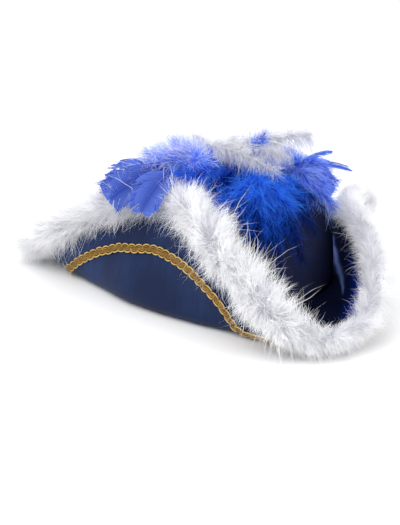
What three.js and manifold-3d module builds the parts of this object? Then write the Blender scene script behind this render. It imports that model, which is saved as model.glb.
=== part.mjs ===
// A tricorn hat: a satin crown in a satin brim turned up on three sides, the brim's edge trimmed with white
// marabou down and its panels with gold braid, and a heap of blue down and feathers lying on the crown.
// Millimetres, +Z up. The brim's front corner points along -Y, and the hat stands on its flat underside.

import * as THREE from "three";
import { mergeVertices } from "three/addons/utils/BufferGeometryUtils.js";
import Module from "manifold-3d";

const wasm = await Module();
wasm.setup();

// Driving dimensions, in millimetres
const headLength = 200; // head opening, front to back
const headWidth = 166; // head opening, side to side
const crownRise = 104; // table to the top of the crown's cloth
const clothWall = 2; // satin over buckram
const seamGap = 0.4; // clearance between two pieces that meet
const cornerReach = 210; // crown's axis to the fold at a corner
const panelRise = 100; // table to the edge of the tallest panel section
const cornerLift = 8; // rise of the floor towards a corner
const foldRadius = 12; // bend between the floor and a panel
const panelBow = 4; // outward bow of a panel half way up
const trimRadius = 20; // marabou, edge of the brim to its tips
const trimFloat = 2; // table to the lowest of the marabou
const braidWidth = 8.6;
const braidThickness = 2;
const scallopPitch = 8.6; // one loop of the braid
const scallopDepth = 1.2;
const downDepth = 17; // heap of down over the crown
const vaneWidth = 20; // flat feather
const vaneThickness = 2.4;
const lockWidth = 22; // lock of long down

// The brim round the crown, from the front corner at 0 to the middle of the back panel at 180.
// reach is the fold's distance from the crown's axis as a share of cornerReach, rise the edge's height as a
// share of panelRise, lean the panel's tilt out from upright in degrees, and lift the share of cornerLift.
// The last three are how the wearer's left side differs: tuck is the degrees that it leans in, draw how much
// shorter its reach is, and dip how much lower its edge is.
const brimSections = [
  { turn: 0, reach: 1.0, rise: 0.19, lean: 50, lift: 1, tuck: 0, draw: 0, dip: 0 },
  { turn: 8, reach: 0.945, rise: 0.25, lean: 45, lift: 0.8, tuck: 0, draw: 0, dip: 0 },
  { turn: 20, reach: 0.79, rise: 0.56, lean: 16, lift: 0.3, tuck: 4, draw: 0, dip: 0 },
  { turn: 35, reach: 0.7, rise: 0.87, lean: -13, lift: 0, tuck: 9, draw: 0, dip: 0.08 },
  { turn: 50, reach: 0.662, rise: 0.93, lean: -25, lift: 0, tuck: 5, draw: 0, dip: 0.14 },
  { turn: 65, reach: 0.655, rise: 0.9, lean: -28, lift: 0, tuck: 1, draw: 0.01, dip: 0.13 },
  { turn: 88, reach: 0.68, rise: 0.76, lean: -18, lift: 0, tuck: 0, draw: 0.035, dip: 0.09 },
  { turn: 108, reach: 0.81, rise: 0.38, lean: 13, lift: 0.4, tuck: 0, draw: 0.085, dip: 0.06 },
  { turn: 120, reach: 0.95, rise: 0.18, lean: 45, lift: 1, tuck: 0, draw: 0.1, dip: 0.04 },
  { turn: 132, reach: 0.81, rise: 0.27, lean: 13, lift: 0.4, tuck: 0, draw: 0.06, dip: 0.06 },
  { turn: 152, reach: 0.68, rise: 0.52, lean: -12, lift: 0, tuck: 0, draw: 0.02, dip: 0.02 },
  { turn: 180, reach: 0.63, rise: 0.72, lean: -20, lift: 0, tuck: 0, draw: 0, dip: 0 },
];

// The three turned-up panels, each from one corner to the next. The braid's arch runs between its two ends,
// whose turns stand braidStart and braidEnd degrees inside the corners.
const panels = [
  { name: "right", from: 0, to: 120, braidStart: 10, braidEnd: 14 },
  { name: "back", from: 120, to: 240, braidStart: 14, braidEnd: 14 },
  { name: "left", from: 240, to: 360, braidStart: 14, braidEnd: 10 },
];

// Where a panel is cut into sections: shares of its turn, closer together at the corners.
const sectionShares = [0, 0.035, 0.075, 0.125, 0.18, 0.245, 0.32, 0.405, 0.5];

const radians = THREE.MathUtils.degToRad;
const lerp = THREE.MathUtils.lerp;
const UP = new THREE.Vector3(0, 0, 1);

// A direction over the table: turn 0 is the front, -Y, and 90 is the wearer's right, -X.
function heading(turn) {
  return new THREE.Vector3(-Math.sin(radians(turn)), -Math.cos(radians(turn)), 0);
}

// A column of the brim's table at any turn, on a smooth curve through its rows, mirrored past front and back.
function column(key, turn) {
  const t = Math.abs(((((turn + 180) % 360) + 360) % 360) - 180);
  const last = brimSections.length - 1;
  let i = 0;
  while (i < last - 1 && brimSections[i + 1].turn < t) i += 1;
  const row = (k) => {
    if (k < 0) return [-brimSections[-k].turn, brimSections[-k][key]];
    if (k > last) return [360 - brimSections[2 * last - k].turn, brimSections[2 * last - k][key]];
    return [brimSections[k].turn, brimSections[k][key]];
  };
  const [[t0, v0], [t1, v1], [t2, v2], [t3, v3]] = [row(i - 1), row(i), row(i + 1), row(i + 2)];
  const s = (t - t1) / (t2 - t1);
  const smooth = s * s * (3 - 2 * s);
  const slope1 = (v2 - v0) / (t2 - t0);
  const slope2 = (v3 - v1) / (t3 - t1);
  return lerp(v1, v2, smooth) + (t2 - t1) * s * (1 - s) * ((1 - s) * slope1 - s * slope2);
}

// Radius of the head opening at a turn.
function headRadius(turn) {
  const a = radians(turn);
  return 1 / Math.hypot(Math.cos(a) / (headLength / 2), Math.sin(a) / (headWidth / 2));
}

// The middle of the brim's cloth at a turn, as [radius, height] pairs from the head opening out to the edge.
function brimProfile(turn) {
  const onLeft = (key) => (turn > 180 ? column(key, turn) : 0);
  const lean = radians(column("lean", turn) - onLeft("tuck"));
  const lift = Math.max(column("lift", turn), 0) * cornerLift;
  const rise = (column("rise", turn) - onLeft("dip")) * panelRise;
  const head = headRadius(turn);
  const bendStart = (column("reach", turn) - onLeft("draw")) * cornerReach - foldRadius;
  const flatShare = 0.4;
  const points = [
    [head, clothWall / 2],
    [lerp(head, bendStart, flatShare), clothWall / 2],
    [lerp(head, bendStart, (1 + flatShare) / 2), clothWall / 2 + lift / 4],
  ];
  const sweep = Math.PI / 2 - lean;
  for (const s of [0, 0.5, 1]) {
    const r = bendStart + foldRadius * Math.sin(sweep * s);
    points.push([r, clothWall / 2 + lift + foldRadius * (1 - Math.cos(sweep * s))]);
  }
  const [wallR, wallZ] = points[points.length - 1];
  const wall = Math.max(rise - wallZ, foldRadius / 2);
  const bow = (panelBow * wall) / panelRise;
  for (const s of [0.35, 0.7, 1]) {
    const out = bow * Math.sin(Math.PI * s);
    points.push([wallR + wall * s * Math.tan(lean) + out, wallZ + wall * s]);
  }
  return points;
}
const FLAT_POINTS = 3; // profile points whose underside is level, before the bend begins

// The brim's cloth as a grid: for each section its turn, its middle points and the normals that point
// down under the floor and outwards on the panels.
function brimGrid() {
  const turns = panels.flatMap(({ from, to }) => {
    const rising = sectionShares.map((s) => from + (to - from) * s);
    const falling = sectionShares.slice(1, -1).map((s) => to - (to - from) * s).reverse();
    return [...rising, ...falling];
  });
  const points = turns.map((turn) =>
    brimProfile(turn).map(([r, z]) => heading(turn).multiplyScalar(r).setZ(z)),
  );
  const wrap = (i) => (i + turns.length) % turns.length;
  const normals = points.map((row, i) =>
    row.map((_, j) => {
      if (j < FLAT_POINTS) return UP.clone().negate();
      const along = row[Math.min(j + 1, row.length - 1)].clone().sub(row[j - 1]);
      const round = points[wrap(i + 1)][j].clone().sub(points[wrap(i - 1)][j]);
      return along.cross(round).normalize();
    }),
  );
  return turns.map((turn, i) => ({ turn, points: points[i], normals: normals[i] }));
}
const brim = brimGrid();

// A point on the brim at a turn and at a share of the way from the bend's start to the edge, set off the
// cloth's middle along the normals. It lies on the same flat triangles as the brim's outer face.
function onPanel(turn, share, offset) {
  const t = ((turn % 360) + 360) % 360;
  let i = 0;
  while (i < brim.length - 1 && brim[i + 1].turn <= t) i += 1;
  const a = brim[i];
  const b = brim[(i + 1) % brim.length];
  const s = (t - a.turn) / ((b.turn || 360) - a.turn);
  const steps = a.points.length - 1 - FLAT_POINTS;
  const place = Math.min(Math.max(share, 0), 1) * steps;
  const j = FLAT_POINTS + Math.min(Math.floor(place), steps - 1);
  const f = place - (j - FLAT_POINTS);
  const corner = (grid, k) => grid.points[k].clone().addScaledVector(grid.normals[k], offset);
  const [a0, a1, b0, b1] = [corner(a, j), corner(a, j + 1), corner(b, j), corner(b, j + 1)];
  if (s + f <= 1) return a0.clone().addScaledVector(a1.sub(a0), f).addScaledVector(b0.sub(a0), s);
  return b1.clone().addScaledVector(b0.sub(b1), 1 - f).addScaledVector(a1.sub(b1), 1 - s);
}

// A closed solid through polygons of equal count. Each polygon runs anticlockwise seen from the far end.
// With loop the last joins the first, otherwise a fan to each end's tip closes it.
function loft(sections, { loop = false, startTip, endTip } = {}) {
  const n = sections[0].length;
  const middle = (polygon) =>
    polygon.reduce((sum, p) => sum.add(p), new THREE.Vector3()).divideScalar(polygon.length);
  const vertices = sections.flat().flatMap((p) => [p.x, p.y, p.z]);
  const faces = [];
  const spans = loop ? sections.length : sections.length - 1;
  for (let i = 0; i < spans; i += 1) {
    const a = i * n;
    const b = ((i + 1) % sections.length) * n;
    for (let j = 0; j < n; j += 1) {
      const k = (j + 1) % n;
      faces.push(a + j, a + k, b + j, a + k, b + k, b + j);
    }
  }
  if (!loop) {
    const last = (sections.length - 1) * n;
    const start = startTip ?? middle(sections[0]);
    const end = endTip ?? middle(sections[sections.length - 1]);
    const tip = vertices.length / 3;
    vertices.push(start.x, start.y, start.z, end.x, end.y, end.z);
    for (let j = 0; j < n; j += 1) {
      const k = (j + 1) % n;
      faces.push(tip, k, j, tip + 1, last + j, last + k);
    }
  }
  const geometry = new THREE.BufferGeometry();
  geometry.setAttribute("position", new THREE.Float32BufferAttribute(vertices, 3));
  geometry.setIndex(faces);
  return geometry;
}

function toSolid(geometry) {
  const bare = geometry.clone();
  bare.deleteAttribute("normal");
  bare.deleteAttribute("uv");
  const merged = mergeVertices(bare, 1e-4);
  return new wasm.Manifold(
    new wasm.Mesh({
      numProp: 3,
      vertProperties: new Float32Array(merged.attributes.position.array),
      triVerts: new Uint32Array(merged.index.array),
    }),
  );
}

function toGeometry(solid) {
  const { vertProperties, triVerts } = solid.getMesh();
  const geometry = new THREE.BufferGeometry();
  geometry.setAttribute("position", new THREE.BufferAttribute(vertProperties, 3));
  geometry.setIndex(new THREE.BufferAttribute(triVerts, 1));
  return geometry;
}

function biggestBody(solid) {
  return solid.decompose().sort((a, b) => b.volume() - a.volume())[0];
}

// Brim: one cloth shell, floor and panels. With outset it grows every way, for cutting what touches it.
function makeBrim(outset = 0) {
  const half = clothWall / 2 + outset;
  const sections = brim.map(({ points, normals }) => {
    const last = points.length - 1;
    const line = points.map((p) => p.clone());
    line[0].addScaledVector(points[0].clone().sub(points[1]).normalize(), outset);
    line[last].addScaledVector(points[last].clone().sub(points[last - 1]).normalize(), outset);
    return [
      ...line.map((p, j) => p.clone().addScaledVector(normals[j], half)),
      ...line.map((p, j) => p.clone().addScaledVector(normals[j], -half)).reverse(),
    ];
  });
  return loft(sections, { loop: true });
}

// Height of the crown's outer face and its half widths there, as shares of crownRise and the head opening.
const crownSections = [
  { height: 0, girth: 1 },
  { height: 0.2, girth: 0.995 },
  { height: 0.42, girth: 0.975 },
  { height: 0.62, girth: 0.92 },
  { height: 0.78, girth: 0.82 },
  { height: 0.9, girth: 0.64 },
  { height: 0.97, girth: 0.38 },
];
const CROWN_SIDES = 28;

const crownTurns = Array.from({ length: CROWN_SIDES }, (_, i) => 360 - (360 * i) / CROWN_SIDES);

// A point on the crown. The height is a share of the crown's rise, and outset lies along the dome's face.
function crownPoint(turn, { height, girth }, outset) {
  const floor = clothWall + seamGap;
  const rise = crownRise - clothWall - floor;
  const tilt = height ** 2; // the dome's face turns from upright at the base to level at the top
  const r = headRadius(turn) * girth + outset * Math.sqrt(1 - tilt ** 2);
  return heading(turn).multiplyScalar(r).setZ(floor + rise * height + outset * tilt);
}

function crownRing(row, outset) {
  return crownTurns.map((turn) => crownPoint(turn, row, outset));
}

function crownTop(outset) {
  return new THREE.Vector3(0, 0, crownRise - clothWall + outset);
}

// Crown: a domed cloth cap standing on the brim's floor round the head opening
function makeCrown() {
  const inner = crownSections.map((row) => crownRing(row, 0));
  const outer = crownSections.map((row) => crownRing(row, clothWall));
  const sections = [...inner.reverse(), ...outer];
  return loft(sections, { startTip: crownTop(0), endTip: crownTop(clothWall) });
}

// A solid dome that fills the crown and grows past its face, for cutting what lies on the crown.
function crownFill(outset) {
  const rings = crownSections.map((row) => crownRing(row, clothWall + outset));
  const foot = rings[0].map((p) => p.clone().setZ(-clothWall));
  return toSolid(loft([foot, ...rings], { endTip: crownTop(clothWall + outset) }));
}

// Marabou along one panel's edge: a tube of short locks round the edge of the cloth, which lies in a slit cut
// by the brim. The contour runs round the edge from the side that faces the crown.
const trimContour = [
  { angle: -152, reach: 0.95 },
  { angle: -105, reach: 0.9 },
  { angle: -60, reach: 0.95 },
  { angle: -15, reach: 1.0 },
  { angle: 30, reach: 1.0 },
  { angle: 75, reach: 0.95 },
  { angle: 120, reach: 1.0 },
  { angle: 165, reach: 1.1 },
];
const LOCK_DEPTH = 0.17; // how far the locks stand out and fall back, as a share of trimRadius

// How full the marabou is on the brim's inner and outer face, as shares of trimRadius.
const trimFullness = [
  { turn: 0, inner: 0.4, outer: 1.0 },
  { turn: 4, inner: 0.75, outer: 1.0 },
  { turn: 9, inner: 1.25, outer: 1.0 },
  { turn: 14, inner: 1.45, outer: 1.0 },
  { turn: 28, inner: 1.6, outer: 1.0 },
  { turn: 40, inner: 1.35, outer: 1.0 },
  { turn: 60, inner: 1.0, outer: 1.0 },
  { turn: 120, inner: 1.0, outer: 1.0 },
  { turn: 180, inner: 0.85, outer: 0.9 },
  { turn: 225, inner: 0.65, outer: 0.65 },
  { turn: 250, inner: 0.6, outer: 0.6 },
  { turn: 280, inner: 0.7, outer: 0.65 },
  { turn: 310, inner: 0.65, outer: 0.65 },
  { turn: 330, inner: 0.85, outer: 0.8 },
  { turn: 342, inner: 0.75, outer: 0.75 },
  { turn: 354, inner: 0.55, outer: 0.85 },
  { turn: 360, inner: 0.4, outer: 1.0 },
];

// A column of a table whose rows are in order, at any place between its first and last row.
function between(rows, by, key, place) {
  let i = 0;
  while (i < rows.length - 2 && rows[i + 1][by] < place) i += 1;
  const [a, b] = [rows[i], rows[i + 1]];
  return lerp(a[key], b[key], (place - a[by]) / (b[by] - a[by]));
}

function trimSection(turn, station, outset) {
  const edge = onPanel(turn, 1, 0);
  const wall = edge.clone().sub(onPanel(turn, 0.8, 0)).normalize();
  const radial = heading(turn);
  const face = radial.clone().addScaledVector(wall, -radial.dot(wall)).normalize();
  const across = radial.clone().cross(wall).normalize();
  const ahead = onPanel(turn + 1, 1, 0).sub(onPanel(turn - 1, 1, 0)).normalize();
  const slant = Math.min(1 / Math.abs(across.dot(ahead)), 1.4);
  const inner = between(trimFullness, "turn", "inner", turn);
  const outer = between(trimFullness, "turn", "outer", turn);
  return trimContour.map(({ angle, reach }, j) => {
    const tuft = LOCK_DEPTH * Math.sin(station * 2.1 + j * 2.6) * (station % 2 ? 1 : 0.4);
    const fullness = lerp(inner, outer, (1 + Math.sin(radians(angle))) / 2);
    const r = trimRadius * reach * fullness * (1 + tuft) + outset;
    const point = edge
      .clone()
      .addScaledVector(wall, r * Math.cos(radians(angle)))
      .addScaledVector(face, r * Math.sin(radians(angle)) * slant);
    return point.setZ(Math.max(point.z, trimFloat - outset));
  });
}

function trimTube({ from, to }, outset = 0) {
  const inset = THREE.MathUtils.radToDeg(seamGap / 2 / cornerReach);
  const turns = brim.map((g) => g.turn).filter((t) => t > from && t < to);
  const stations = [from + inset, ...turns, to - inset];
  const doubled = stations.flatMap((t, i) => (i ? [(stations[i - 1] + t) / 2, t] : [t]));
  return toSolid(loft(doubled.map((turn, i) => trimSection(turn, i, outset)).reverse()));
}

// Braid: a flat scalloped strip that arches over the outer face of a panel. along is the share of the way
// round the panel from its front end to its back end, height a share from the bend's start to the edge.
const braidArch = [
  { along: 0, height: 0.3 },
  { along: 0.04, height: 0.26 },
  { along: 0.09, height: 0.28 },
  { along: 0.148, height: 0.53 },
  { along: 0.211, height: 0.62 },
  { along: 0.348, height: 0.66 },
  { along: 0.5, height: 0.67 },
  { along: 0.6, height: 0.655 },
  { along: 0.701, height: 0.64 },
  { along: 0.76, height: 0.61 },
  { along: 0.819, height: 0.58 },
  { along: 0.909, height: 0.46 },
  { along: 1, height: 0.18 },
];
const archCurve = new THREE.SplineCurve(braidArch.map((row) => new THREE.Vector2(row.along, row.height)));

// The braid's turn and height at a share of the way along it. Both halves of the back panel follow the rear
// half of the arch.
function braidPath({ name, from, to, braidStart, braidEnd }, share) {
  const flipped = name === "left" || (name === "back" && share < 0.5);
  const { x, y } = archCurve.getPoint(flipped ? 1 - share : share);
  return { turn: lerp(from + braidStart, to - braidEnd, flipped ? 1 - x : x), height: y };
}

function makeBraid(panel, outset = 0) {
  const at = (share) => {
    const { turn, height } = braidPath(panel, share);
    return onPanel(turn, height, 0);
  };
  const samples = Array.from({ length: 201 }, (_, i) => at(i / 200));
  const lengths = samples.map((p, i) => (i ? p.distanceTo(samples[i - 1]) : 0));
  const total = lengths.reduce((sum, l) => sum + l, 0);
  const count = 2 * Math.round(total / scallopPitch);
  const stations = [];
  let run = 0;
  let next = 0;
  samples.forEach((_, i) => {
    run += lengths[i];
    while (next <= count && run >= (total * next) / count - 1e-6) {
      stations.push(i / 200);
      next += 1;
    }
  });
  const sections = stations.map((share, i) => {
    const { turn, height } = braidPath(panel, share);
    const step = 0.004;
    const a = braidPath(panel, Math.max(share - step, 0));
    const b = braidPath(panel, Math.min(share + step, 1));
    const run1 = onPanel(b.turn, b.height, 0).sub(onPanel(a.turn, a.height, 0)).normalize();
    const byTurn = onPanel(turn + 1, height, 0).sub(onPanel(turn, height, 0));
    const byHeight = onPanel(turn, height + 0.02, 0).sub(onPanel(turn, height, 0));
    const perTurn = -byHeight.dot(run1) / byTurn.dot(run1);
    const scale = 1 / byHeight.addScaledVector(byTurn, perTurn).length();
    const half = braidWidth / 2 - (i % 2 ? 0 : scallopDepth);
    const end = (i === count ? outset : 0) - (i === 0 ? outset : 0);
    const point = (side, lift) => {
      const d = side * (half + outset) * scale;
      const p = onPanel(turn + d * perTurn, height + 0.02 * d, clothWall / 2 + lift);
      return p.addScaledVector(run1, end);
    };
    const sag = point(0, 0).distanceTo(point(-1, 0).lerp(point(1, 0), 0.5));
    const bottom = 2 * seamGap + sag - outset;
    const top = 2 * seamGap + sag + braidThickness + outset;
    return [point(-1, bottom), point(-1, top), point(1, top), point(1, bottom)];
  });
  return loft(sections);
}

// A place above the table: out is a share of half the head length, up a share of crownRise.
function place({ turn, out, up }) {
  return heading(turn).multiplyScalar((out * headLength) / 2).setZ(up * crownRise);
}

// One lock or feather from a root to a tip, bowed upwards. The outline lists its half width along the way.
function strand(root, tip, { bow, width, thickness, outline, sides, outset }) {
  const bend = root.clone().lerp(tip, 0.5).addScaledVector(UP, bow);
  const curve = new THREE.QuadraticBezierCurve3(root, bend, tip);
  const sections = outline.map((share, i) => {
    const s = i / (outline.length - 1);
    const along = curve.getTangent(s);
    const across = along.clone().cross(UP).normalize();
    const lift = along.clone().cross(across);
    return Array.from({ length: sides }, (_, k) => {
      const a = (2 * Math.PI * k) / sides;
      return curve
        .getPoint(s)
        .addScaledVector(across, Math.cos(a) * ((share * width) / 2 + outset))
        .addScaledVector(lift, Math.sin(a) * ((share * thickness) / 2 + outset));
    });
  });
  return toSolid(loft(sections));
}
const LOCK_OUTLINE = [0.55, 1, 0.85, 0.5, 0.08]; // long down, root to tip
const VANE_OUTLINE = [0.25, 0.8, 1, 0.85, 0.5, 0.06]; // flat feather, root to tip

// What lies on the crown. Each group springs from one root, and its rows give the tips. Kind is "vane" for
// flat feathers or "lock" for long down, bow is a share of downDepth, width of vaneWidth or lockWidth.
const plumes = [
  {
    name: "feathers_right",
    color: 0x4a5fd0,
    kind: "vane",
    root: { turn: 66, out: 0.72, up: 1.03 },
    tips: [
      { turn: 94, out: 1.33, up: 0.93, bow: 0.7, width: 0.6 },
      { turn: 90, out: 1.29, up: 0.88, bow: 0.8, width: 0.6 },
      { turn: 97, out: 1.24, up: 0.99, bow: 0.6, width: 0.6 },
      { turn: 78, out: 1.36, up: 0.89, bow: 1.3, width: 2.1 },
      { turn: 99, out: 1.12, up: 1.1, bow: 0.5, width: 0.7 },
      { turn: 57, out: 1.4, up: 0.86, bow: 1.6, width: 2.2 },
    ],
  },
  {
    name: "down_right",
    color: 0x7a8cf0,
    kind: "lock",
    root: { turn: 62, out: 0.5, up: 1.12 },
    tips: [
      { turn: 87, out: 0.67, up: 1.3, bow: 0.2, width: 0.8 },
      { turn: 73, out: 0.61, up: 1.29, bow: 0.2, width: 0.8 },
      { turn: 88, out: 0.92, up: 1.19, bow: 0.4, width: 1.0 },
      { turn: 84, out: 1.1, up: 1.07, bow: 0.6, width: 1.0 },
      { turn: 55, out: 0.75, up: 1.2, bow: 0.5, width: 1.0 },
      { turn: 110, out: 0.85, up: 1.1, bow: 0.6, width: 1.1 },
    ],
  },
  {
    name: "plume_front",
    color: 0x0a3cc0,
    kind: "lock",
    root: { turn: 4, out: 0.62, up: 1.06 },
    tips: [
      { turn: 2, out: 1.13, up: 0.3, bow: 1.6, width: 0.9 },
      { turn: 350, out: 1.14, up: 0.45, bow: 1.7, width: 1.0 },
      { turn: 14, out: 1.16, up: 0.52, bow: 1.8, width: 1.0 },
      { turn: 337, out: 1.04, up: 0.58, bow: 1.6, width: 1.0 },
      { turn: 26, out: 1.04, up: 0.7, bow: 1.4, width: 1.1 },
      { turn: 328, out: 1.0, up: 0.78, bow: 1.1, width: 1.0 },
    ],
  },
  {
    name: "feathers_left",
    color: 0x2f55dc,
    kind: "vane",
    root: { turn: 322, out: 0.55, up: 1.06 },
    tips: [
      { turn: 312, out: 1.06, up: 1.07, bow: 0.6, width: 0.7 },
      { turn: 306, out: 0.86, up: 1.2, bow: 0.4, width: 0.8 },
      { turn: 322, out: 0.99, up: 0.78, bow: 1.2, width: 1.7 },
      { turn: 313, out: 1.03, up: 0.94, bow: 0.9, width: 1.2 },
      { turn: 292, out: 0.9, up: 1.04, bow: 0.7, width: 0.9 },
    ],
  },
  {
    name: "feather_white",
    color: 0xf0f0f4,
    kind: "lock",
    root: { turn: 60, out: 0.4, up: 1.26 },
    tips: [
      { turn: 308, out: 0.66, up: 1.35, bow: 0, width: 0.9 },
      { turn: 352, out: 0.68, up: 1.09, bow: 0.6, width: 0.75 },
      { turn: 335, out: 0.62, up: 1.2, bow: 0.5, width: 0.7 },
      { turn: 100, out: 0.45, up: 1.3, bow: 0.2, width: 0.6 },
    ],
  },
];

function makePlume({ kind, root, tips }, outset = 0) {
  const flat = kind === "vane";
  return tips
    .map(({ bow, width, ...tip }) =>
      strand(place(root), place(tip), {
        bow: bow * downDepth,
        width: width * (flat ? vaneWidth : lockWidth),
        thickness: flat ? vaneThickness : width * lockWidth * 0.7,
        outline: flat ? VANE_OUTLINE : LOCK_OUTLINE,
        sides: flat ? 4 : 6,
        outset,
      }),
    )
    .reduce((sum, part) => sum.add(part));
}

// The heap of down on the crown: a lumpy cap that follows the dome, hollowed by the crown under it. Its lower
// rim is a share of the crown's rise, and stands higher on the wearer's left.
const heapFoot = [
  { turn: 0, height: 0.66 },
  { turn: 25, height: 0.6 },
  { turn: 180, height: 0.6 },
  { turn: 265, height: 0.7 },
  { turn: 300, height: 0.78 },
  { turn: 340, height: 0.78 },
  { turn: 360, height: 0.66 },
];
const heapRings = [
  { up: 0, depth: 0.45 },
  { up: 0.4, depth: 1 },
  { up: 0.75, depth: 1 },
  { up: 1, depth: 1 },
];

function makeHeap(outset = 0) {
  const top = crownSections[crownSections.length - 1].height;
  const rings = heapRings.map(({ up, depth }, k) =>
    crownTurns.map((turn, i) => {
      const height = lerp(between(heapFoot, "turn", "height", turn), top, up);
      const girth = between(crownSections, "height", "girth", height);
      const lump = 0.75 + 0.25 * Math.sin(i * 2.4 + k * 1.9);
      const point = crownPoint(turn, { height, girth }, clothWall + downDepth * lump * depth + outset);
      return point.addScaledVector(UP, k ? 0 : -2 * outset);
    }),
  );
  return toSolid(loft(rings, { endTip: crownTop(clothWall + downDepth + outset) }));
}

// Parts
const hat = new THREE.Group();
function piece(name, geometry, look) {
  const mesh = new THREE.Mesh(geometry, new THREE.MeshStandardMaterial(look));
  mesh.name = name;
  hat.add(mesh);
}
const satin = { color: 0x22376b, roughness: 0.42, metalness: 0 };
const down = { color: 0xeeeef2, roughness: 0.95, metalness: 0 };
const gold = { color: 0xb8903c, roughness: 0.5, metalness: 0.4 };

piece("brim", makeBrim(), satin);
piece("crown", makeCrown(), satin);

const brimFace = toSolid(makeBrim(seamGap / 2));
let taken = toSolid(makeBrim(seamGap)).add(crownFill(seamGap));
panels.forEach((panel) => {
  const strip = biggestBody(toSolid(makeBraid(panel)).subtract(brimFace));
  piece(`braid_${panel.name}`, toGeometry(strip), gold);
  taken = taken.add(toSolid(makeBraid(panel, 2 * seamGap)));
});
panels.forEach((panel) => {
  piece(`marabou_${panel.name}`, toGeometry(biggestBody(trimTube(panel).subtract(taken))), down);
});
panels.forEach((panel) => {
  taken = taken.add(trimTube(panel, seamGap));
});
piece("down_crown", toGeometry(biggestBody(makeHeap().subtract(taken))), { color: 0x0f46dc, roughness: 0.9 });
taken = taken.add(makeHeap(2 * seamGap));
plumes.forEach((plume) => {
  const { name, color } = plume;
  piece(name, toGeometry(biggestBody(makePlume(plume).subtract(taken))), { color, roughness: 0.85 });
  taken = taken.add(makePlume(plume, seamGap));
});

// The middle of the footprint is the origin.
const box = new THREE.Box3().setFromObject(hat);
const centre = box.getCenter(new THREE.Vector3());
hat.position.set(-centre.x, -centre.y, -box.min.z);

export default hat;
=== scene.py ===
"""A tricorn hat in satin with white marabou, gold gimp braid, and blue down and feathers on its crown.

Lengths in the dataclasses are millimetres, and mm() turns them into Blender's metres. Turns are degrees round
the crown's axis: 0 is the front corner, along -Y, 90 the wearer's right, along -X. Left and right are the
wearer's.
"""

import logging
import math
from collections.abc import Callable, Iterable, Sequence
from dataclasses import dataclass, field
from enum import Enum

import bpy
import numpy as np
from mathutils import Matrix, Vector


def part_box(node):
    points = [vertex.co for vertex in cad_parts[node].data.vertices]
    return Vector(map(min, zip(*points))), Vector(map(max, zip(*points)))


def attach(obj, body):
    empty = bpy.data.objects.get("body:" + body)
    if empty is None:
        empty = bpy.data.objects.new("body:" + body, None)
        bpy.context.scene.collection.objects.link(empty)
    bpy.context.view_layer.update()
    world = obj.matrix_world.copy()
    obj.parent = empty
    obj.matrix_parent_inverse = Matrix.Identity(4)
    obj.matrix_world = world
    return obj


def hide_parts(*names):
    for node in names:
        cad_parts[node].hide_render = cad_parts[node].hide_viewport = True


log = logging.getLogger("tricorn")

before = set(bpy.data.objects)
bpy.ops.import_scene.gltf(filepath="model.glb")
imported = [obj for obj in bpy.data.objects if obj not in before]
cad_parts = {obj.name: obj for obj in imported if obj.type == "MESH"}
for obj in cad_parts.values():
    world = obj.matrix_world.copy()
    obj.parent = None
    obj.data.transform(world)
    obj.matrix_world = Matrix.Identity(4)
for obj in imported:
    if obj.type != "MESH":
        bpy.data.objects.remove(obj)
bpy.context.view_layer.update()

Array = np.ndarray
Thing = bpy.types.Object
Material = bpy.types.Material
Node = bpy.types.Node
Socket = bpy.types.NodeSocket
Tree = bpy.types.NodeTree

UP = np.array([0.0, 0.0, 1.0])
# The furthest that a loose barb reaches, in metres: down to the table and 19 mm or less past the solids.
REACH_LOW = (-0.203, -0.2055, 0.0003)
REACH_HIGH = (0.203, 0.2055, 0.1542)
MICRO = 1e6  # square millimetres in a square metre
TONE_SEED = 5  # of the shade that each barb and loop gets

# The kinds of node that are used most
MATH, VECTORS, NOISE = "ShaderNodeMath", "ShaderNodeVectorMath", "ShaderNodeTexNoise"
BUMP, RANGE, ATTRIBUTE = "ShaderNodeBump", "ShaderNodeMapRange", "ShaderNodeAttribute"
PRINCIPLED, PLACE = "ShaderNodeBsdfPrincipled", "ShaderNodeTexCoord"
RANDOM, NAMED = "FunctionNodeRandomValue", "GeometryNodeInputNamedAttribute"
ALIGN, MOVE = "FunctionNodeAlignRotationToVector", "GeometryNodeSetPosition"
DRESS, JOIN, RAMP = "GeometryNodeSetMaterial", "GeometryNodeJoinGeometry", "ShaderNodeValToRGB"


def mm(value: float | Array) -> float | Array:
    """Millimetres in metres."""
    return value / 1000.0


def per_metre(size: float) -> float:
    """How many times a size in millimetres goes into a metre."""
    return 1000 / size


def hex_linear(code: str) -> tuple[float, float, float, float]:
    """Turns a screen colour into Blender's linear one.

    Args:
        code: The colour as "#rrggbb".

    Returns:
        Red, green, blue and a full alpha.
    """
    shares = [int(code[i : i + 2], 16) / 255 for i in (1, 3, 5)]
    linear = [s / 12.92 if s <= 0.04045 else ((s + 0.055) / 1.055) ** 2.4 for s in shares]
    return (*linear, 1.0)


def unit(vectors: Array) -> Array:
    """Vectors scaled to length one along the last axis."""
    length = np.linalg.norm(vectors, axis=-1, keepdims=True)
    return vectors / np.maximum(length, 1e-9)


# Node helpers


def out(node: Node, name: str | int | None = None) -> Socket:
    """An output socket by name or place, or the first one in use."""
    return socket(node.outputs, name)


def socket(sockets: Iterable[Socket], name: str | int | None) -> Socket:
    """Finds a socket by its name or as the first, among those in use, or by its place."""
    if isinstance(name, int):
        return list(sockets)[name]
    return next(s for s in sockets if s.enabled and name in (None, s.name))


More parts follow.
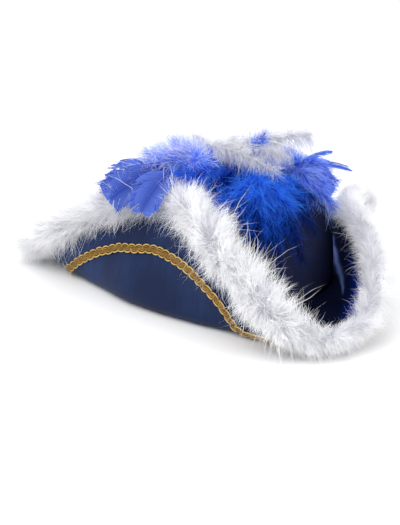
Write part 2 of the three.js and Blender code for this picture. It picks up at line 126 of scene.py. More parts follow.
def add_node(
    tree: Tree,
    kind: str,
    inputs: dict[str | int, object] | None = None,
    stops: Sequence[tuple[float, str]] = (),
    **settings: object,
) -> Node:
    """Adds one node, sets its own properties and fills its inputs.

    Args:
        tree: The material's or the geometry's tree.
        kind: The node's type.
        inputs: Values, or nodes or sockets to link from, by the input's name or place.
        stops: Places from 0 to 1 with their colours, on a colour ramp.
        settings: The node's own properties.

    Returns:
        The node.
    """
    node = tree.nodes.new(kind)
    for key, value in settings.items():
        setattr(node, key, value)
    if stops:
        elements = node.color_ramp.elements
        while len(elements) < len(stops):
            elements.new(0.5)
        for element, (place, code) in zip(elements, stops):
            element.position, element.color = place, hex_linear(code)
    for key, value in (inputs or {}).items():
        target = socket(node.inputs, key)
        source = out(value) if isinstance(value, Node) else value
        if isinstance(source, Socket):
            tree.links.new(source, target)
        else:
            target.default_value = source
    return node


# Finishes


@dataclass(frozen=True)
class Finish:
    """What a piece is dressed in. Each kind of finish adds its own surface.

    Attributes:
        name: The material's name.
    """

    name: str

    def surface(self, tree: Tree) -> Node:
        """The last shader of the finish's tree."""
        raise NotImplementedError(self.name)

    def material(self) -> Material:
        """The finish as a material, made once and shared by the pieces that wear it."""
        material = bpy.data.materials.get(self.name)
        if material is None:
            material = bpy.data.materials.new(self.name)
            material.use_nodes = True
            tree = material.node_tree
            tree.nodes.clear()
            add_node(tree, "ShaderNodeOutputMaterial", {"Surface": self.surface(tree)})
        return material


@dataclass(frozen=True)
class Satin(Finish):
    """Polyester satin over buckram: a smooth float weave with fine upright streaks and soft creases.

    Attributes:
        face: Colour of the cloth in full light.
        shade: Colour where the light falls away.
        roughness: Mean roughness.
        thread: Pitch of the weave, drawn coarser than real thread so that it shows.
        crease: Height of the soft creases in the cloth's bump.
        gloss: Level of the mirrored light.
        painted_highlight: Colour of a painted highlight along a fold, where the attribute of that painted
            highlight is one.
        painted_glow: Colour of painted light, as of light coming through the cloth, where the attribute of
            that painted glow is one.
    """

    face: str
    shade: str
    roughness: float
    thread: float = 0.45
    crease: float = 0.5
    gloss: float = 0.4
    painted_highlight: str = "#3c4b7d"
    painted_glow: str = "#0c3cd8"

    def surface(self, tree: Tree) -> Node:
        """The satin by the cloth's own UV map, in metres, with painted light from its glow and gleam
        attributes.
        """
        cloth = add_node(tree, "ShaderNodeUVMap", uv_map="cloth")
        place = out(add_node(tree, PLACE), "Object")
        drape = add_node(tree, NOISE, {"Vector": place, "Scale": 13.0, "Detail": 3.0, "Roughness": 0.55})
        drawn = add_node(tree, "ShaderNodeMapping", {"Vector": cloth, "Scale": (260.0, 18.0, 1.0)})
        streaks = add_node(tree, NOISE, {"Vector": drawn, "Scale": 1.0, "Detail": 4.0, "Roughness": 0.6})
        patchy = add_node(tree, MATH, {0: streaks, 1: 0.3, 2: drape}, operation="MULTIPLY_ADD")
        colour = add_node(tree, RAMP, {"Fac": patchy}, [(0.52, self.shade), (0.8, self.face)])
        # Painted light: a glow colour as of light through the cloth and a highlight colour for a lit fold,
        # each mixed in by its attribute.
        for name, tone in (("painted_glow", self.painted_glow), ("painted_gleam", self.painted_highlight)):
            share = out(add_node(tree, ATTRIBUTE, attribute_name=name), "Fac")
            tones = {"Factor": share, "A": colour, "B": hex_linear(tone)}
            colour = add_node(tree, "ShaderNodeMix", tones, data_type="RGBA")
        bands = {"Vector": cloth, "Scale": 1.0 / mm(self.thread) / 6.3, "Distortion": 1.2, "Detail": 2.0}
        warp = add_node(tree, "ShaderNodeTexWave", bands, wave_type="BANDS", bands_direction="DIAGONAL")
        slub = add_node(tree, NOISE, {"Vector": cloth, "Scale": 420.0, "Detail": 3.0})
        weave = add_node(tree, MATH, {0: out(warp, 1), 1: 0.6, 2: slub}, operation="MULTIPLY_ADD")
        fine = add_node(tree, BUMP, {"Strength": 0.22, "Distance": mm(0.06), "Height": weave})
        fold = add_node(tree, NOISE, {"Vector": place, "Scale": 34.0, "Detail": 2.0, "Distortion": 0.6})
        height = mm(self.crease)
        soft = add_node(tree, BUMP, {"Strength": 0.35, "Distance": height, "Height": fold, "Normal": fine})
        low, high = self.roughness - 0.06, self.roughness + 0.08
        rough = add_node(tree, RANGE, {"Value": slub, "To Min": low, "To Max": high})
        looks = {"Base Color": colour, "Roughness": rough, "Normal": soft, "Specular IOR Level": self.gloss}
        return add_node(tree, PRINCIPLED, looks)


@dataclass(frozen=True)
class Down(Finish):
    """Dyed or bleached marabou: fine translucent barbs, darker near the quill, partly as painted shade deep
    in the fluff.

    Attributes:
        root: Colour deep in the fluff, darker partly as painted shade.
        body: Colour half way along a barb.
        tip: Colour at the barbs' tips.
        through: Share of light that passes through a barb.
    """

    root: str
    body: str
    tip: str
    through: float

    def surface(self, tree: Tree) -> Node:
        """The down by each barb's shade, tip and tint attributes, and a cloud from lock to lock."""
        shade, tip, tint = (
            out(add_node(tree, ATTRIBUTE, attribute_name=name), "Fac") for name in ("shade", "tip", "tint")
        )
        place = out(add_node(tree, PLACE), "Object")
        lock = add_node(tree, NOISE, {"Vector": place, "Scale": 75.0, "Detail": 2.0})
        level: object = -0.3
        for part, weight in ((shade, 0.35), (lock, 0.5), (tip, 1.0), (tint, 1.0)):
            level = add_node(tree, MATH, {0: part, 1: weight, 2: level}, operation="MULTIPLY_ADD")
        # From root to tip the colour lightens: the dark root is partly painted shade deep in the fluff.
        stops = [(0.0, self.root), (0.45, self.body), (1.0, self.tip)]
        colour = add_node(tree, RAMP, {"Fac": level}, stops)
        shader = add_node(
            tree, PRINCIPLED, {"Base Color": colour, "Roughness": 0.85, "Specular IOR Level": 0.15}
        )
        through = add_node(tree, "ShaderNodeBsdfTranslucent", {"Color": colour})
        return add_node(tree, "ShaderNodeMixShader", {0: self.through, 1: shader, 2: through})


@dataclass(frozen=True)
class Vane(Finish):
    """Dyed goose feather: a smooth vane of parallel barbs with a soft gloss.

    Attributes:
        base: Colour near the quill.
        edge: Colour at the barbs' ends.
    """

    base: str
    edge: str

    def surface(self, tree: Tree) -> Node:
        """The vane by its tip, shade and barb attributes, streaked barb by barb."""
        barb, shade, tip = (
            out(add_node(tree, ATTRIBUTE, attribute_name=name), "Fac") for name in ("barb", "shade", "tip")
        )
        place = out(add_node(tree, PLACE), "Object")
        cloud = add_node(tree, NOISE, {"Vector": place, "Scale": 60.0, "Detail": 2.0})
        streak = {"W": barb, "Scale": 1.1, "Detail": 3.0, "Roughness": 0.7}
        hair = add_node(tree, NOISE, streak, noise_dimensions="1D")
        level: object = tip
        for part, weight in ((shade, 0.35), (cloud, 0.5), (hair, 0.7)):
            level = add_node(tree, MATH, {0: part, 1: weight, 2: level}, operation="MULTIPLY_ADD")
        scaled = add_node(tree, RANGE, {"Value": level, "From Min": 0.8, "From Max": 1.9})
        colour = add_node(tree, RAMP, {"Fac": scaled}, [(0.0, self.base), (1.0, self.edge)])
        bump = add_node(tree, BUMP, {"Strength": 0.4, "Distance": mm(0.1), "Height": hair})
        looks = {"Base Color": colour, "Roughness": 0.5, "Specular IOR Level": 0.3, "Normal": bump}
        shader = add_node(tree, PRINCIPLED, looks)
        through = add_node(tree, "ShaderNodeBsdfTranslucent", {"Color": colour})
        return add_node(tree, "ShaderNodeMixShader", {0: 0.25, 1: shader, 2: through})


@dataclass(frozen=True)
class Quill(Finish):
    """A feather's shaft: smooth keratin with faint growth rings."""

    colour: str

    def surface(self, tree: Tree) -> Node:
        """The shaft, a little rougher and smoother from ring to ring."""
        place = out(add_node(tree, PLACE), "Object")
        ring = add_node(tree, NOISE, {"Vector": place, "Scale": 260.0})
        rough = add_node(tree, RANGE, {"Value": ring, "To Min": 0.3, "To Max": 0.5})
        return add_node(tree, PRINCIPLED, {"Base Color": hex_linear(self.colour), "Roughness": rough})


@dataclass(frozen=True)
class GimpThread(Finish):
    """Metallised thread wound on a core, as in gold gimp braid.

    Attributes:
        bright: Colour on top of a loop, a painted highlight.
        middle: Colour of the inner threads.
        dull: Colour of worn thread, and of painted shade on the middle ring and the ends of the loops.
    """

    bright: str
    middle: str
    dull: str

    def surface(self, tree: Tree) -> Node:
        """The thread by its tone and shade attributes, with wear and the fine winding of its foil; the tone
        carries painted light and shade.
        """
        tone, shade = (
            out(add_node(tree, ATTRIBUTE, attribute_name=name), "Fac") for name in ("tone", "shade")
        )
        place = out(add_node(tree, PLACE), "Object")
        worn = add_node(tree, NOISE, {"Vector": place, "Scale": 260.0, "Detail": 3.0})
        level: object = -0.25
        for part, weight in ((worn, 0.5), (shade, 0.12), (tone, 1.0)):
            level = add_node(tree, MATH, {0: part, 1: weight, 2: level}, operation="MULTIPLY_ADD")
        stops = [(0.1, self.dull), (0.5, self.middle), (1.0, self.bright)]
        colour = add_node(tree, RAMP, {"Fac": level}, stops)
        foil = add_node(tree, NOISE, {"Vector": place, "Scale": 1500.0, "Detail": 1.0})
        bump = add_node(tree, BUMP, {"Strength": 0.9, "Distance": mm(0.2), "Height": foil})
        looks = {"Base Color": colour, "Metallic": 0.6, "Roughness": 0.36, "Normal": bump}
        return add_node(tree, PRINCIPLED, looks)


@dataclass(frozen=True)
class FloorPaint(Finish):
    """Pale matt paint, a shade lighter and darker from place to place."""

    def surface(self, tree: Tree) -> Node:
        """The floor by the place on it."""
        place = out(add_node(tree, PLACE), "Object")
        grain = add_node(tree, NOISE, {"Vector": place, "Scale": 3.0})
        colour = add_node(tree, RAMP, {"Fac": grain}, [(0.0, "#f6f6f7"), (1.0, "#fafafa")])
        return add_node(tree, PRINCIPLED, {"Base Color": colour, "Roughness": 0.9})


OUTER_SATIN = Satin("steel_blue_satin", "#182e58", "#0a1a3c", 0.48, gloss=0.16)
CROWN_SATIN = Satin("crown_satin", "#2d3352", "#1f2544", 0.42, crease=0.8, gloss=0.0, painted_highlight="#5f73b0")
# The brim's inner face: darker than the outer satin, partly as painted shade of the brim's hollow.
INNER_SATIN = Satin("midnight_satin_and_painted_shade", "#10162e", "#0a0e20", 0.42, crease=0.8, gloss=0.0, painted_highlight="#5f73b0")
WHITE_DOWN = Down("white_marabou", "#dadbe1", "#efeff3", "#ffffff", 0.5)
ROYAL_DOWN = Down("royal_blue_marabou", "#001c78", "#0654e4", "#5a9cff", 0.4)
PALE_DOWN = Down("pale_blue_marabou", "#0c3cd8", "#86a8fc", "#fafbff", 0.55)
DEEP_DOWN = Down("deep_blue_marabou", "#000c50", "#0454dc", "#4896ff", 0.4)
BRIGHT_DOWN = Down("bright_blue_marabou", "#0828a0", "#2f6cf0", "#b4ccff", 0.45)
BLUE_VANE = Vane("blue_goose_vane", "#1a3a9c", "#5674d4")
BRIGHT_VANE = Vane("bright_blue_goose_vane", "#1040c0", "#5c8af4")
BLUE_QUILL = Quill("dyed_quill", "#1c2c74")
VANE_QUILL = Quill("blue_quill", "#3f5fc8")
PALE_QUILL = Quill("pale_blue_quill", "#9cb4f4")
WHITE_QUILL = Quill("white_quill", "#eeeae2")
GOLD_THREAD = GimpThread("gold_gimp_thread", "#e8c470", "#96702c", "#38260e")


# Mesh helpers


def linked(made: Thing) -> Thing:
    """Links a new object to the scene."""
    bpy.context.scene.collection.objects.link(made)
    return made


def mesh_object(
    name: str, points: Array, faces: Array | Sequence[Sequence[int]], materials: Sequence[Material] = (),
    slots: Array | None = None
) -> Thing:
    """Makes an object from points and faces and links it to the scene.

    Args:
        name: The object's name.
        points: One row of x, y and z in metres for each point.
        faces: Point numbers of each face.
        materials: The object's material slots.
        slots: The slot number of each face, where there are several.

    Returns:
        The object, smooth shaded.
    """
    mesh = bpy.data.meshes.new(name)
    mesh.from_pydata(points.tolist(), [], [list(map(int, f)) for f in faces])
    for material in materials:
        mesh.materials.append(material)
    if slots is not None:
        mesh.polygons.foreach_set("material_index", slots.astype(np.int32))
    mesh.polygons.foreach_set("use_smooth", np.ones(len(mesh.polygons), bool))
    mesh.update()
    return linked(bpy.data.objects.new(name, mesh))


def set_attribute(made: Thing, name: str, values: Array) -> None:
    """Stores a number or a vector for each point of an object's mesh."""
    kind, key = ("FLOAT_VECTOR", "vector") if values.ndim == 2 else ("FLOAT", "value")
    attribute = made.data.attributes.new(name, kind, "POINT")
    attribute.data.foreach_set(key, np.ascontiguousarray(values, np.float32).ravel())


def set_cloth_uv(made: Thing, uv: Array) -> None:
    """Gives a mesh its UV map in metres from one pair for each point."""
    layer = made.data.uv_layers.new(name="cloth")
    corners = np.zeros(len(made.data.loops), np.int32)
    made.data.loops.foreach_get("vertex_index", corners)
    layer.data.foreach_set("uv", np.ascontiguousarray(uv[corners], np.float32).ravel())


def grid_faces(rows: int, columns: int, wrap_rows: bool = False, wrap_columns: bool = False) -> Array:
    """Quads of a grid whose points are numbered row by row.

    Args:
        rows: Number of rows of points.
        columns: Points in a row.
        wrap_rows: Whether the last row joins the first.
        wrap_columns: Whether each row closes on itself.

    Returns:
        One row of four point numbers for each quad.
    """
    i = np.arange(rows if wrap_rows else rows - 1)
    j = np.arange(columns if wrap_columns else columns - 1)
    a, b = np.meshgrid(i, j, indexing="ij")
    a2, b2 = (a + 1) % rows, (b + 1) % columns
    quads = np.stack([a * columns + b, a * columns + b2, a2 * columns + b2, a2 * columns + b], -1)
    return quads.reshape(-1, 4)


def tube(path: Array, radii: Array, sides: int) -> tuple[Array, Array]:
    """A tube along a path, pinched shut at both ends by its radii.

    Args:
        path: The path's points.
        radii: The tube's radius at each.
        sides: Points round the tube.

    Returns:
        The tube's points and its quads.
    """
    along = unit(np.gradient(path, axis=0))
    side = unit(np.cross(along, np.where(np.abs(along[:, 2:]) > 0.95, np.array([[0.0, 1.0, 0.0]]), UP)))
    lift = np.cross(side, along)
    angle = np.linspace(0, 2 * math.pi, sides, endpoint=False)
    ring = np.cos(angle)[None, :, None] * side[:, None] - np.sin(angle)[None, :, None] * lift[:, None]
    points = path[:, None] + ring * radii[:, None, None]
    return points.reshape(-1, 3), grid_faces(len(path), sides, wrap_columns=True)[:, ::-1]


def join_meshes(name: str, pieces: list[Thing]) -> Thing:
    """Joins plain mesh objects into the first one and renames it."""
    first = pieces[0]
    with bpy.context.temp_override(active_object=first, object=first, selected_editable_objects=pieces):
        bpy.ops.object.join()
    first.name = first.data.name = name
    return first


class Gathered:
    """Sheets and tubes gathered into one mesh, with values for each of their points."""

    def __init__(self) -> None:
        """Starts with nothing."""
        self.points: list[Array] = []
        self.faces: list[Array] = []
        self.values: dict[str, list[Array]] = {}
        self.count = 0

    def add(self, points: Array, faces: Array, **values: Array | float) -> None:
        """Adds one sheet or tube.

        Args:
            points: Its points.
            faces: Its quads, numbered from its own first point.
            values: One value for all its points or one for each, by the attribute's name.
        """
        points = points.reshape(-1, 3)
        self.points.append(points)
        self.faces.append(faces + self.count)
        self.count += len(points)
        for name, value in values.items():
            each = np.full(len(points), value) if np.ndim(value) == 0 else value
            self.values.setdefault(name, []).append(each)

    def build(self, name: str, materials: Sequence[Material] = (), units: float = 1000.0) -> Thing:
        """Makes the object.

        Args:
            name: The object's name.
            materials: Its material slots.
            units: How many of the points' units are a metre.

        Returns:
            The object with its attributes.
        """
        made = mesh_object(name, np.vstack(self.points) / units, np.vstack(self.faces), materials)
        for key, values in self.values.items():
            set_attribute(made, key, np.concatenate(values))
        return made


def stand_in(piece: Thing, node: str) -> Thing:
    """Puts a finished piece in the place of the CAD node that it dresses."""
    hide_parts(node)
    return piece


# Forms shared with the CAD part


@dataclass(frozen=True)
class BrimRow:
    """One section of the brim at a turn from the front, as shares of the form's sizes and degrees.

    Attributes:
        turn: Degrees from the front, on either side.
        reach: Where the brim turns up, as a share of the longest reach.
        rise: The edge's height.
        lean: How far the panel leans outwards from upright.
        lift: How far the floor rises under a corner.
        tuck: How much less the left side leans outwards.
        draw: How much shorter the left side's reach is.
        dip: How much lower the left side's edge is.
    """

    turn: float
    reach: float
    rise: float
    lean: float
    lift: float
    tuck: float
    draw: float
    dip: float


BRIM_ROWS = tuple(
    BrimRow(*row)
    for row in (
        (0, 1.0, 0.19, 50, 1, 0, 0, 0),
        (8, 0.945, 0.25, 45, 0.8, 0, 0, 0),
        (20, 0.79, 0.56, 16, 0.3, 4, 0, 0),
        (35, 0.7, 0.87, -13, 0, 9, 0, 0.08),
        (50, 0.662, 0.93, -25, 0, 5, 0, 0.14),
        (65, 0.655, 0.9, -28, 0, 1, 0.01, 0.13),
        (88, 0.68, 0.76, -18, 0, 0, 0.035, 0.09),
        (108, 0.81, 0.38, 13, 0.4, 0, 0.085, 0.06),
        (120, 0.95, 0.18, 45, 1, 0, 0.1, 0.04),
        (132, 0.81, 0.27, 13, 0.4, 0, 0.06, 0.06),
        (152, 0.68, 0.52, -12, 0, 0, 0.02, 0.02),
        (180, 0.63, 0.72, -20, 0, 0, 0, 0),
    )
)
# How full the marabou is, as shares of its radius: the turn, on the inner face, on the outer face.
FUR_ROWS = np.array(
    [
        (0, 0.4, 1.0), (4, 0.75, 1.0), (9, 1.25, 1.0), (14, 1.45, 1.0), (28, 1.6, 1.0), (40, 1.35, 1.0),
        (60, 1.0, 1.0), (80, 1.2, 1.1), (106, 1.25, 1.15), (116, 1.05, 1.0), (124, 1.0, 1.0),
        (180, 0.85, 0.9), (225, 0.62, 0.65), (250, 0.52, 0.62), (280, 0.56, 0.68), (310, 0.52, 0.68),
        (330, 0.72, 0.82), (342, 0.75, 0.75), (354, 0.55, 0.85), (360, 0.4, 1.0),
    ]
)


@dataclass
class HatForm:
    """The sizes that the hat's pieces share, and the surfaces that they give.

    Attributes:
        head_length: Length of the head opening.
        head_width: Width of the head opening.
        crown_rise: The crown's height.
        cloth: Thickness of the cloth.
        seam: Gap between the brim's floor and the crown.
        corner_reach: The longest reach, at the front corner, from the axis.
        panel_rise: The height that a row's rise is a share of.
        corner_lift: The height that a row's lift is a share of.
        fold_radius: Radius of the bend where a panel turns up.
        panel_bow: How far a panel bows outwards half way up.
        axis: Where the crown's axis meets the table.
    """

    head_length: float = 200.0
    head_width: float = 166.0
    crown_rise: float = 104.0
    cloth: float = 2.0
    seam: float = 0.4
    corner_reach: float = 210.0
    panel_rise: float = 100.0
    corner_lift: float = 8.0
    fold_radius: float = 12.0
    panel_bow: float = 4.0
    axis: Array = field(default_factory=lambda: np.zeros(3))

    def __post_init__(self) -> None:
        """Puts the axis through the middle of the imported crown."""
        low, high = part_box("crown")
        self.axis = np.array([(low.x + high.x) / 2, (low.y + high.y) / 2, 0.0]) * 1000

    def column(self, key: str, turn: Array) -> Array:
        """A column of the brim's table at any turns, on a smooth curve through its rows.

        Args:
            key: The column's name.
            turn: Turns in degrees.

        Returns:
            The column's value at each turn.
        """
        t = np.abs((np.asarray(turn, float) + 180) % 360 - 180)
        values = [getattr(row, key) for row in BRIM_ROWS]
        turns = [row.turn for row in BRIM_ROWS]
        turns = np.array([-turns[1], *turns, 360 - turns[-2]])
        values = np.array([values[1], *values, values[-2]], float)
        i = np.clip(np.searchsorted(turns[1:-1], t, side="left") - 1, 0, len(turns) - 4)
        t0, t1, t2, t3 = (turns[i + k] for k in range(4))
        v0, v1, v2, v3 = (values[i + k] for k in range(4))
        s = (t - t1) / (t2 - t1)
        smooth = s * s * (3 - 2 * s)
        slope1, slope2 = (v2 - v0) / (t2 - t0), (v3 - v1) / (t3 - t1)
        return v1 + (v2 - v1) * smooth + (t2 - t1) * s * (1 - s) * ((1 - s) * slope1 - s * slope2)

    def heading(self, turn: Array) -> Array:
        """Unit vectors over the table at the given turns."""
        a = np.radians(turn)
        return np.stack([-np.sin(a), -np.cos(a), np.zeros_like(a)], -1)

    def head_radius(self, turn: Array) -> Array:
        """Radius of the head opening at each turn."""
        a = np.radians(turn)
        return 1 / np.hypot(np.cos(a) / (self.head_length / 2), np.sin(a) / (self.head_width / 2))

    def cloth_line(self, turn: Array, place: Array) -> Array:
        """Points in the middle of the brim's cloth.

        Args:
            turn: Turns in degrees.
            place: 0 to 1 over the floor, to 2 round the bend, to 3 up the panel.

        Returns:
            The points in millimetres.
        """
        turn, place = np.broadcast_arrays(np.asarray(turn, float), np.asarray(place, float))
        left = turn % 360 > 180
        tuck, draw, dip = (np.where(left, self.column(key, turn), 0) for key in ("tuck", "draw", "dip"))
        lean = np.radians(self.column("lean", turn) - tuck)
        lift = np.maximum(self.column("lift", turn), 0) * self.corner_lift
        rise = (self.column("rise", turn) - dip) * self.panel_rise
        head = self.head_radius(turn)
        start = (self.column("reach", turn) - draw) * self.corner_reach - self.fold_radius
        sweep = math.pi / 2 - lean
        floor, bend, up = (np.clip(place - k, 0, 1) for k in range(3))
        ramp_up = np.clip((floor - 0.4) / 0.6, 0, 1) ** 2
        wall_z = self.cloth / 2 + lift + self.fold_radius * (1 - np.cos(sweep))
        wall = np.maximum(rise - wall_z, self.fold_radius / 2)
        bow = self.panel_bow * wall / self.panel_rise * np.sin(math.pi * up)
        r = (
            head
            + (start - head) * floor
            + self.fold_radius * np.sin(sweep * bend)
            + wall * up * np.tan(lean)
            + bow
        )
        z = self.cloth / 2 + lift * ramp_up + self.fold_radius * (1 - np.cos(sweep * bend)) + wall * up
        return self.heading(turn) * r[..., None] + UP * z[..., None] + self.axis

    def panel_place(self, share: Array) -> Array:
        """The cloth line's place for a share of the way from the bend's start to the edge."""
        return np.interp(share, [0, 0.4, 0.6, 0.8, 1], [1, 2, 2.35, 2.7, 3])

    def panel_frame(self, turn: Array, share: Array) -> tuple[Array, Array]:
        """Points on a panel with their directions.

        Args:
            turn: Turns in degrees.
            share: Shares of the way from the bend's start to the edge.

        Returns:
            The points and the outward normals.
        """
        turn, share = np.broadcast_arrays(np.asarray(turn, float), np.asarray(share, float))
        place = self.panel_place(share)
        here = self.cloth_line(turn, place)
        up = unit(self.cloth_line(turn, np.minimum(place + 0.03, 3)) - self.cloth_line(turn, place - 0.03))
        along = unit(self.cloth_line(turn + 0.6, place) - self.cloth_line(turn - 0.6, place))
        return here, unit(np.cross(up, along))

    def dome(self, turn: Array, height: Array, outset: float | Array) -> Array:
        """Points on the crown's dome.

        Args:
            turn: Turns in degrees.
            height: Shares of the crown's rise.
            outset: Distance outside the inner face of the cloth.

        Returns:
            The points in millimetres.
        """
        turn, height, outset = np.broadcast_arrays(*(np.asarray(a, float) for a in (turn, height, outset)))
        floor = self.cloth + self.seam
        rise = self.crown_rise - self.cloth - floor
        girth = np.maximum(1 - height**3.6, 0) ** 0.41
        tilt = height**2
        r = self.head_radius(turn) * girth + outset * np.sqrt(np.maximum(1 - tilt**2, 0))
        z = floor + rise * height + outset * tilt
        return self.heading(turn) * r[..., None] + UP * z[..., None] + self.axis

    def spot(self, turn: float, out_share: float, up: float) -> Array:
        """A place above the table, by shares of half the head's length and of the crown's rise."""
        flat = self.heading(np.asarray(turn, float)) * out_share * self.head_length / 2
        return flat + UP * up * self.crown_rise + self.axis


# Barbs by Geometry Nodes


class BarbKind(Enum):
    """The forms of barb that down and vanes are made of."""

    FLUFF = "fluff"
    CURL = "curl"
    BLADE = "blade"


@dataclass
class BarbSet:
    """A few barbs of unit length along +Z, which the trees set out in thousands.

    Attributes:
        kind: The barb's form.
        width: Width at the root as a share of the length.
        bend: How far a barb's tip hangs over, as a share of its length.
        count: How many different barbs.
        seed: Seed of their sway and twist.
    """

    kind: BarbKind
    width: float
    bend: float
    count: int = 6
    seed: int = 11

    def build(self) -> list[Thing]:
        """Makes the barbs as small ribbons with their tip attribute."""
        rng = np.random.default_rng(self.seed)
        made = []
        heights = np.array([0.0, 0.35, 0.72, 1.0])
        taper = [0.8, 1.0, 0.9, 0.12] if self.kind is BarbKind.BLADE else [1.0, 0.9, 0.6, 0.0]
        for i in range(self.count):
            sway = self.bend * rng.uniform(0.5, 1.4)
            twist = rng.uniform(-0.5, 0.5) * self.bend
            y = sway * heights**2
            x = twist * np.sin(heights * math.pi)
            if self.kind is BarbKind.CURL:
                y = sway * np.sin(heights * math.pi * 0.9)
                x = twist * np.sin(heights * math.pi * 2)
            rows = []
            for h, t, dx, dy in zip(heights, taper, x, y):
                half = self.width * t / 2
                rows.append([(dx - half, dy, h), (dx + half, dy, h)] if t > 0 else [(dx, dy, h)])
            points = np.array([p for row in rows for p in row])
            tips = np.array([h for row, h in zip(rows, heights) for _ in row])
            faces = [(0, 1, 3, 2), (2, 3, 5, 4), (4, 5, 7, 6) if len(points) == 8 else (4, 5, 6)]
            barb = mesh_object(f"barb_{self.kind.value}_{i}", points, faces)
            set_attribute(barb, "tip", tips)
            made.append(barb)
        return made


DOWN_INPUTS = {
    "Density": MICRO, "Length": mm(12), "Spread": 0.35, "Jitter": 0.35, "Tuft": 0.8, "Tuft Lean": 0.4,
    "Tuft Size": 140.0, "Stray": 0.03, "Clump": mm(6), "Clump Scale": 90.0, "Droop": mm(2), "Seed": 1,
    "Barb Finish": None, "Core Finish": None
}


class TreeBuilder:
    """Builds and keeps the node trees that set out barbs and loops."""

    def __init__(self) -> None:
        """Starts with no trees."""
        self.made: dict[str, Tree] = {}

    def start(self, name: str, inputs: dict[str, object]) -> tuple[Tree, Node]:
        """A tree with a geometry in and out and named inputs.

        Args:
            name: The tree's name.
            inputs: The default of each input by its name, None for a material.

        Returns:
            The tree and its input node.
        """
        tree = self.made[name] = bpy.data.node_groups.new(name, "GeometryNodeTree")
        for way in ("INPUT", "OUTPUT"):
            tree.interface.new_socket(name="Geometry", in_out=way, socket_type="NodeSocketGeometry")
        kinds = {float: "NodeSocketFloat", int: "NodeSocketInt", type(None): "NodeSocketMaterial"}
        for key, default in inputs.items():
            made = tree.interface.new_socket(name=key, in_out="INPUT", socket_type=kinds[type(default)])
            if default is not None:
                made.default_value = default
        return tree, add_node(tree, "NodeGroupInput")

    @staticmethod
    def scatter(
        tree: Tree, shapes: Sequence[Thing], places: dict[str, Socket | Node], seed: Socket,
        tones: tuple[float, Socket | float]
    ) -> Node:
        """Sets a random one of the shapes on each point, with its shade, and makes them real.

        Args:
            tree: The tree.
            shapes: The shapes to pick from.
            places: The points, and each one's rotation and scale, by the input's name.
            seed: The tree's seed.
            tones: Weight of the random part of the shade, and what is added to it.

        Returns:
            The node whose geometry is the shapes.
        """
        join = add_node(tree, JOIN)
        for shape in shapes:
            info = add_node(tree, "GeometryNodeObjectInfo", {"Object": shape, "As Instance": True})
            tree.links.new(out(info, "Geometry"), join.inputs[0])
        pick = add_node(tree, RANDOM, {4: 0, 5: len(shapes) - 1, "Seed": seed}, data_type="INT")
        picked = {**places, "Instance": join, "Pick Instance": True, "Instance Index": pick}
        placed = add_node(tree, "GeometryNodeInstanceOnPoints", picked)
        tone = add_node(tree, RANDOM, {2: 0.0, 3: 1.0, "Seed": TONE_SEED}, data_type="FLOAT")
        mixed = add_node(tree, MATH, {0: tone, 1: tones[0], 2: tones[1]}, operation="MULTIPLY_ADD")
        shade = {"Geometry": placed, "Name": "shade", "Value": mixed}
        toned = add_node(tree, "GeometryNodeStoreNamedAttribute", shade, data_type="FLOAT", domain="INSTANCE")
        return add_node(tree, "GeometryNodeRealizeInstances", {"Geometry": toned})

    def down(self, name: str, barbs: Sequence[Thing]) -> None:
        """The tree that covers a guide surface with barbs along its comb attribute.

        Args:
            name: The tree's name.
            barbs: The barbs to pick from.
        """
        tree, given = self.start(name, DOWN_INPUTS)
        guide, seed = out(given, "Geometry"), out(given, "Seed")
        thick, reach = (add_node(tree, NAMED, {"Name": key}, data_type="FLOAT") for key in ("thick", "reach"))
        density = add_node(tree, MATH, {0: out(given, "Density"), 1: thick}, operation="MULTIPLY")
        points = add_node(
            tree, "GeometryNodeDistributePointsOnFaces", {"Mesh": guide, "Density": density, "Seed": seed},
            distribute_method="RANDOM"
        )
        aim, tuft_tone = self.aim(tree, given)
        turned = add_node(tree, ALIGN, {"Vector": aim}, axis="Z")
        roll = add_node(tree, RANDOM, {2: 0.0, 3: 2 * math.pi, "Seed": seed}, data_type="FLOAT")
        spin = add_node(tree, "FunctionNodeAxisAngleToRotation", {"Axis": (0, 0, 1), "Angle": roll})
        both = {"Rotation": turned, "Rotate By": spin}
        rotation = add_node(tree, "FunctionNodeRotateRotation", both, rotation_space="LOCAL")
        spread = {0: 1.0, 1: out(given, "Spread")}
        low, high = (add_node(tree, MATH, spread, operation=way) for way in ("SUBTRACT", "ADD"))
        girth = add_node(tree, RANDOM, {2: low, 3: high, "Seed": seed}, data_type="FLOAT")
        tufts = {"Value": tuft_tone, "From Min": 0.2, "From Max": 0.8, "To Min": 0.75, "To Max": 1.15}
        for share in (reach, add_node(tree, RANGE, tufts), out(given, "Length")):
            girth = add_node(tree, MATH, {0: girth, 1: share}, operation="MULTIPLY")
        odd = add_node(tree, RANDOM, {"Probability": out(given, "Stray")}, data_type="BOOLEAN")
        longer = add_node(tree, MATH, {0: odd, 1: 0.85, 2: 1.0}, operation="MULTIPLY_ADD")
        length = add_node(tree, MATH, {0: girth, 1: longer}, operation="MULTIPLY")
        size = add_node(tree, "ShaderNodeCombineXYZ", {"X": girth, "Y": length, "Z": length})
        places = {"Points": points, "Rotation": rotation, "Scale": size}
        real = self.scatter(tree, barbs, places, seed, (0.4, tuft_tone))
        clumped = self.clump(tree, real, given)
        dressed = add_node(tree, DRESS, {"Geometry": clumped, "Material": out(given, "Barb Finish")})
        core = add_node(tree, DRESS, {"Geometry": guide, "Material": out(given, "Core Finish")})
        both = add_node(tree, JOIN)
        for part in (core, dressed):
            tree.links.new(out(part), both.inputs[0])
        add_node(tree, "NodeGroupOutput", {"Geometry": both})

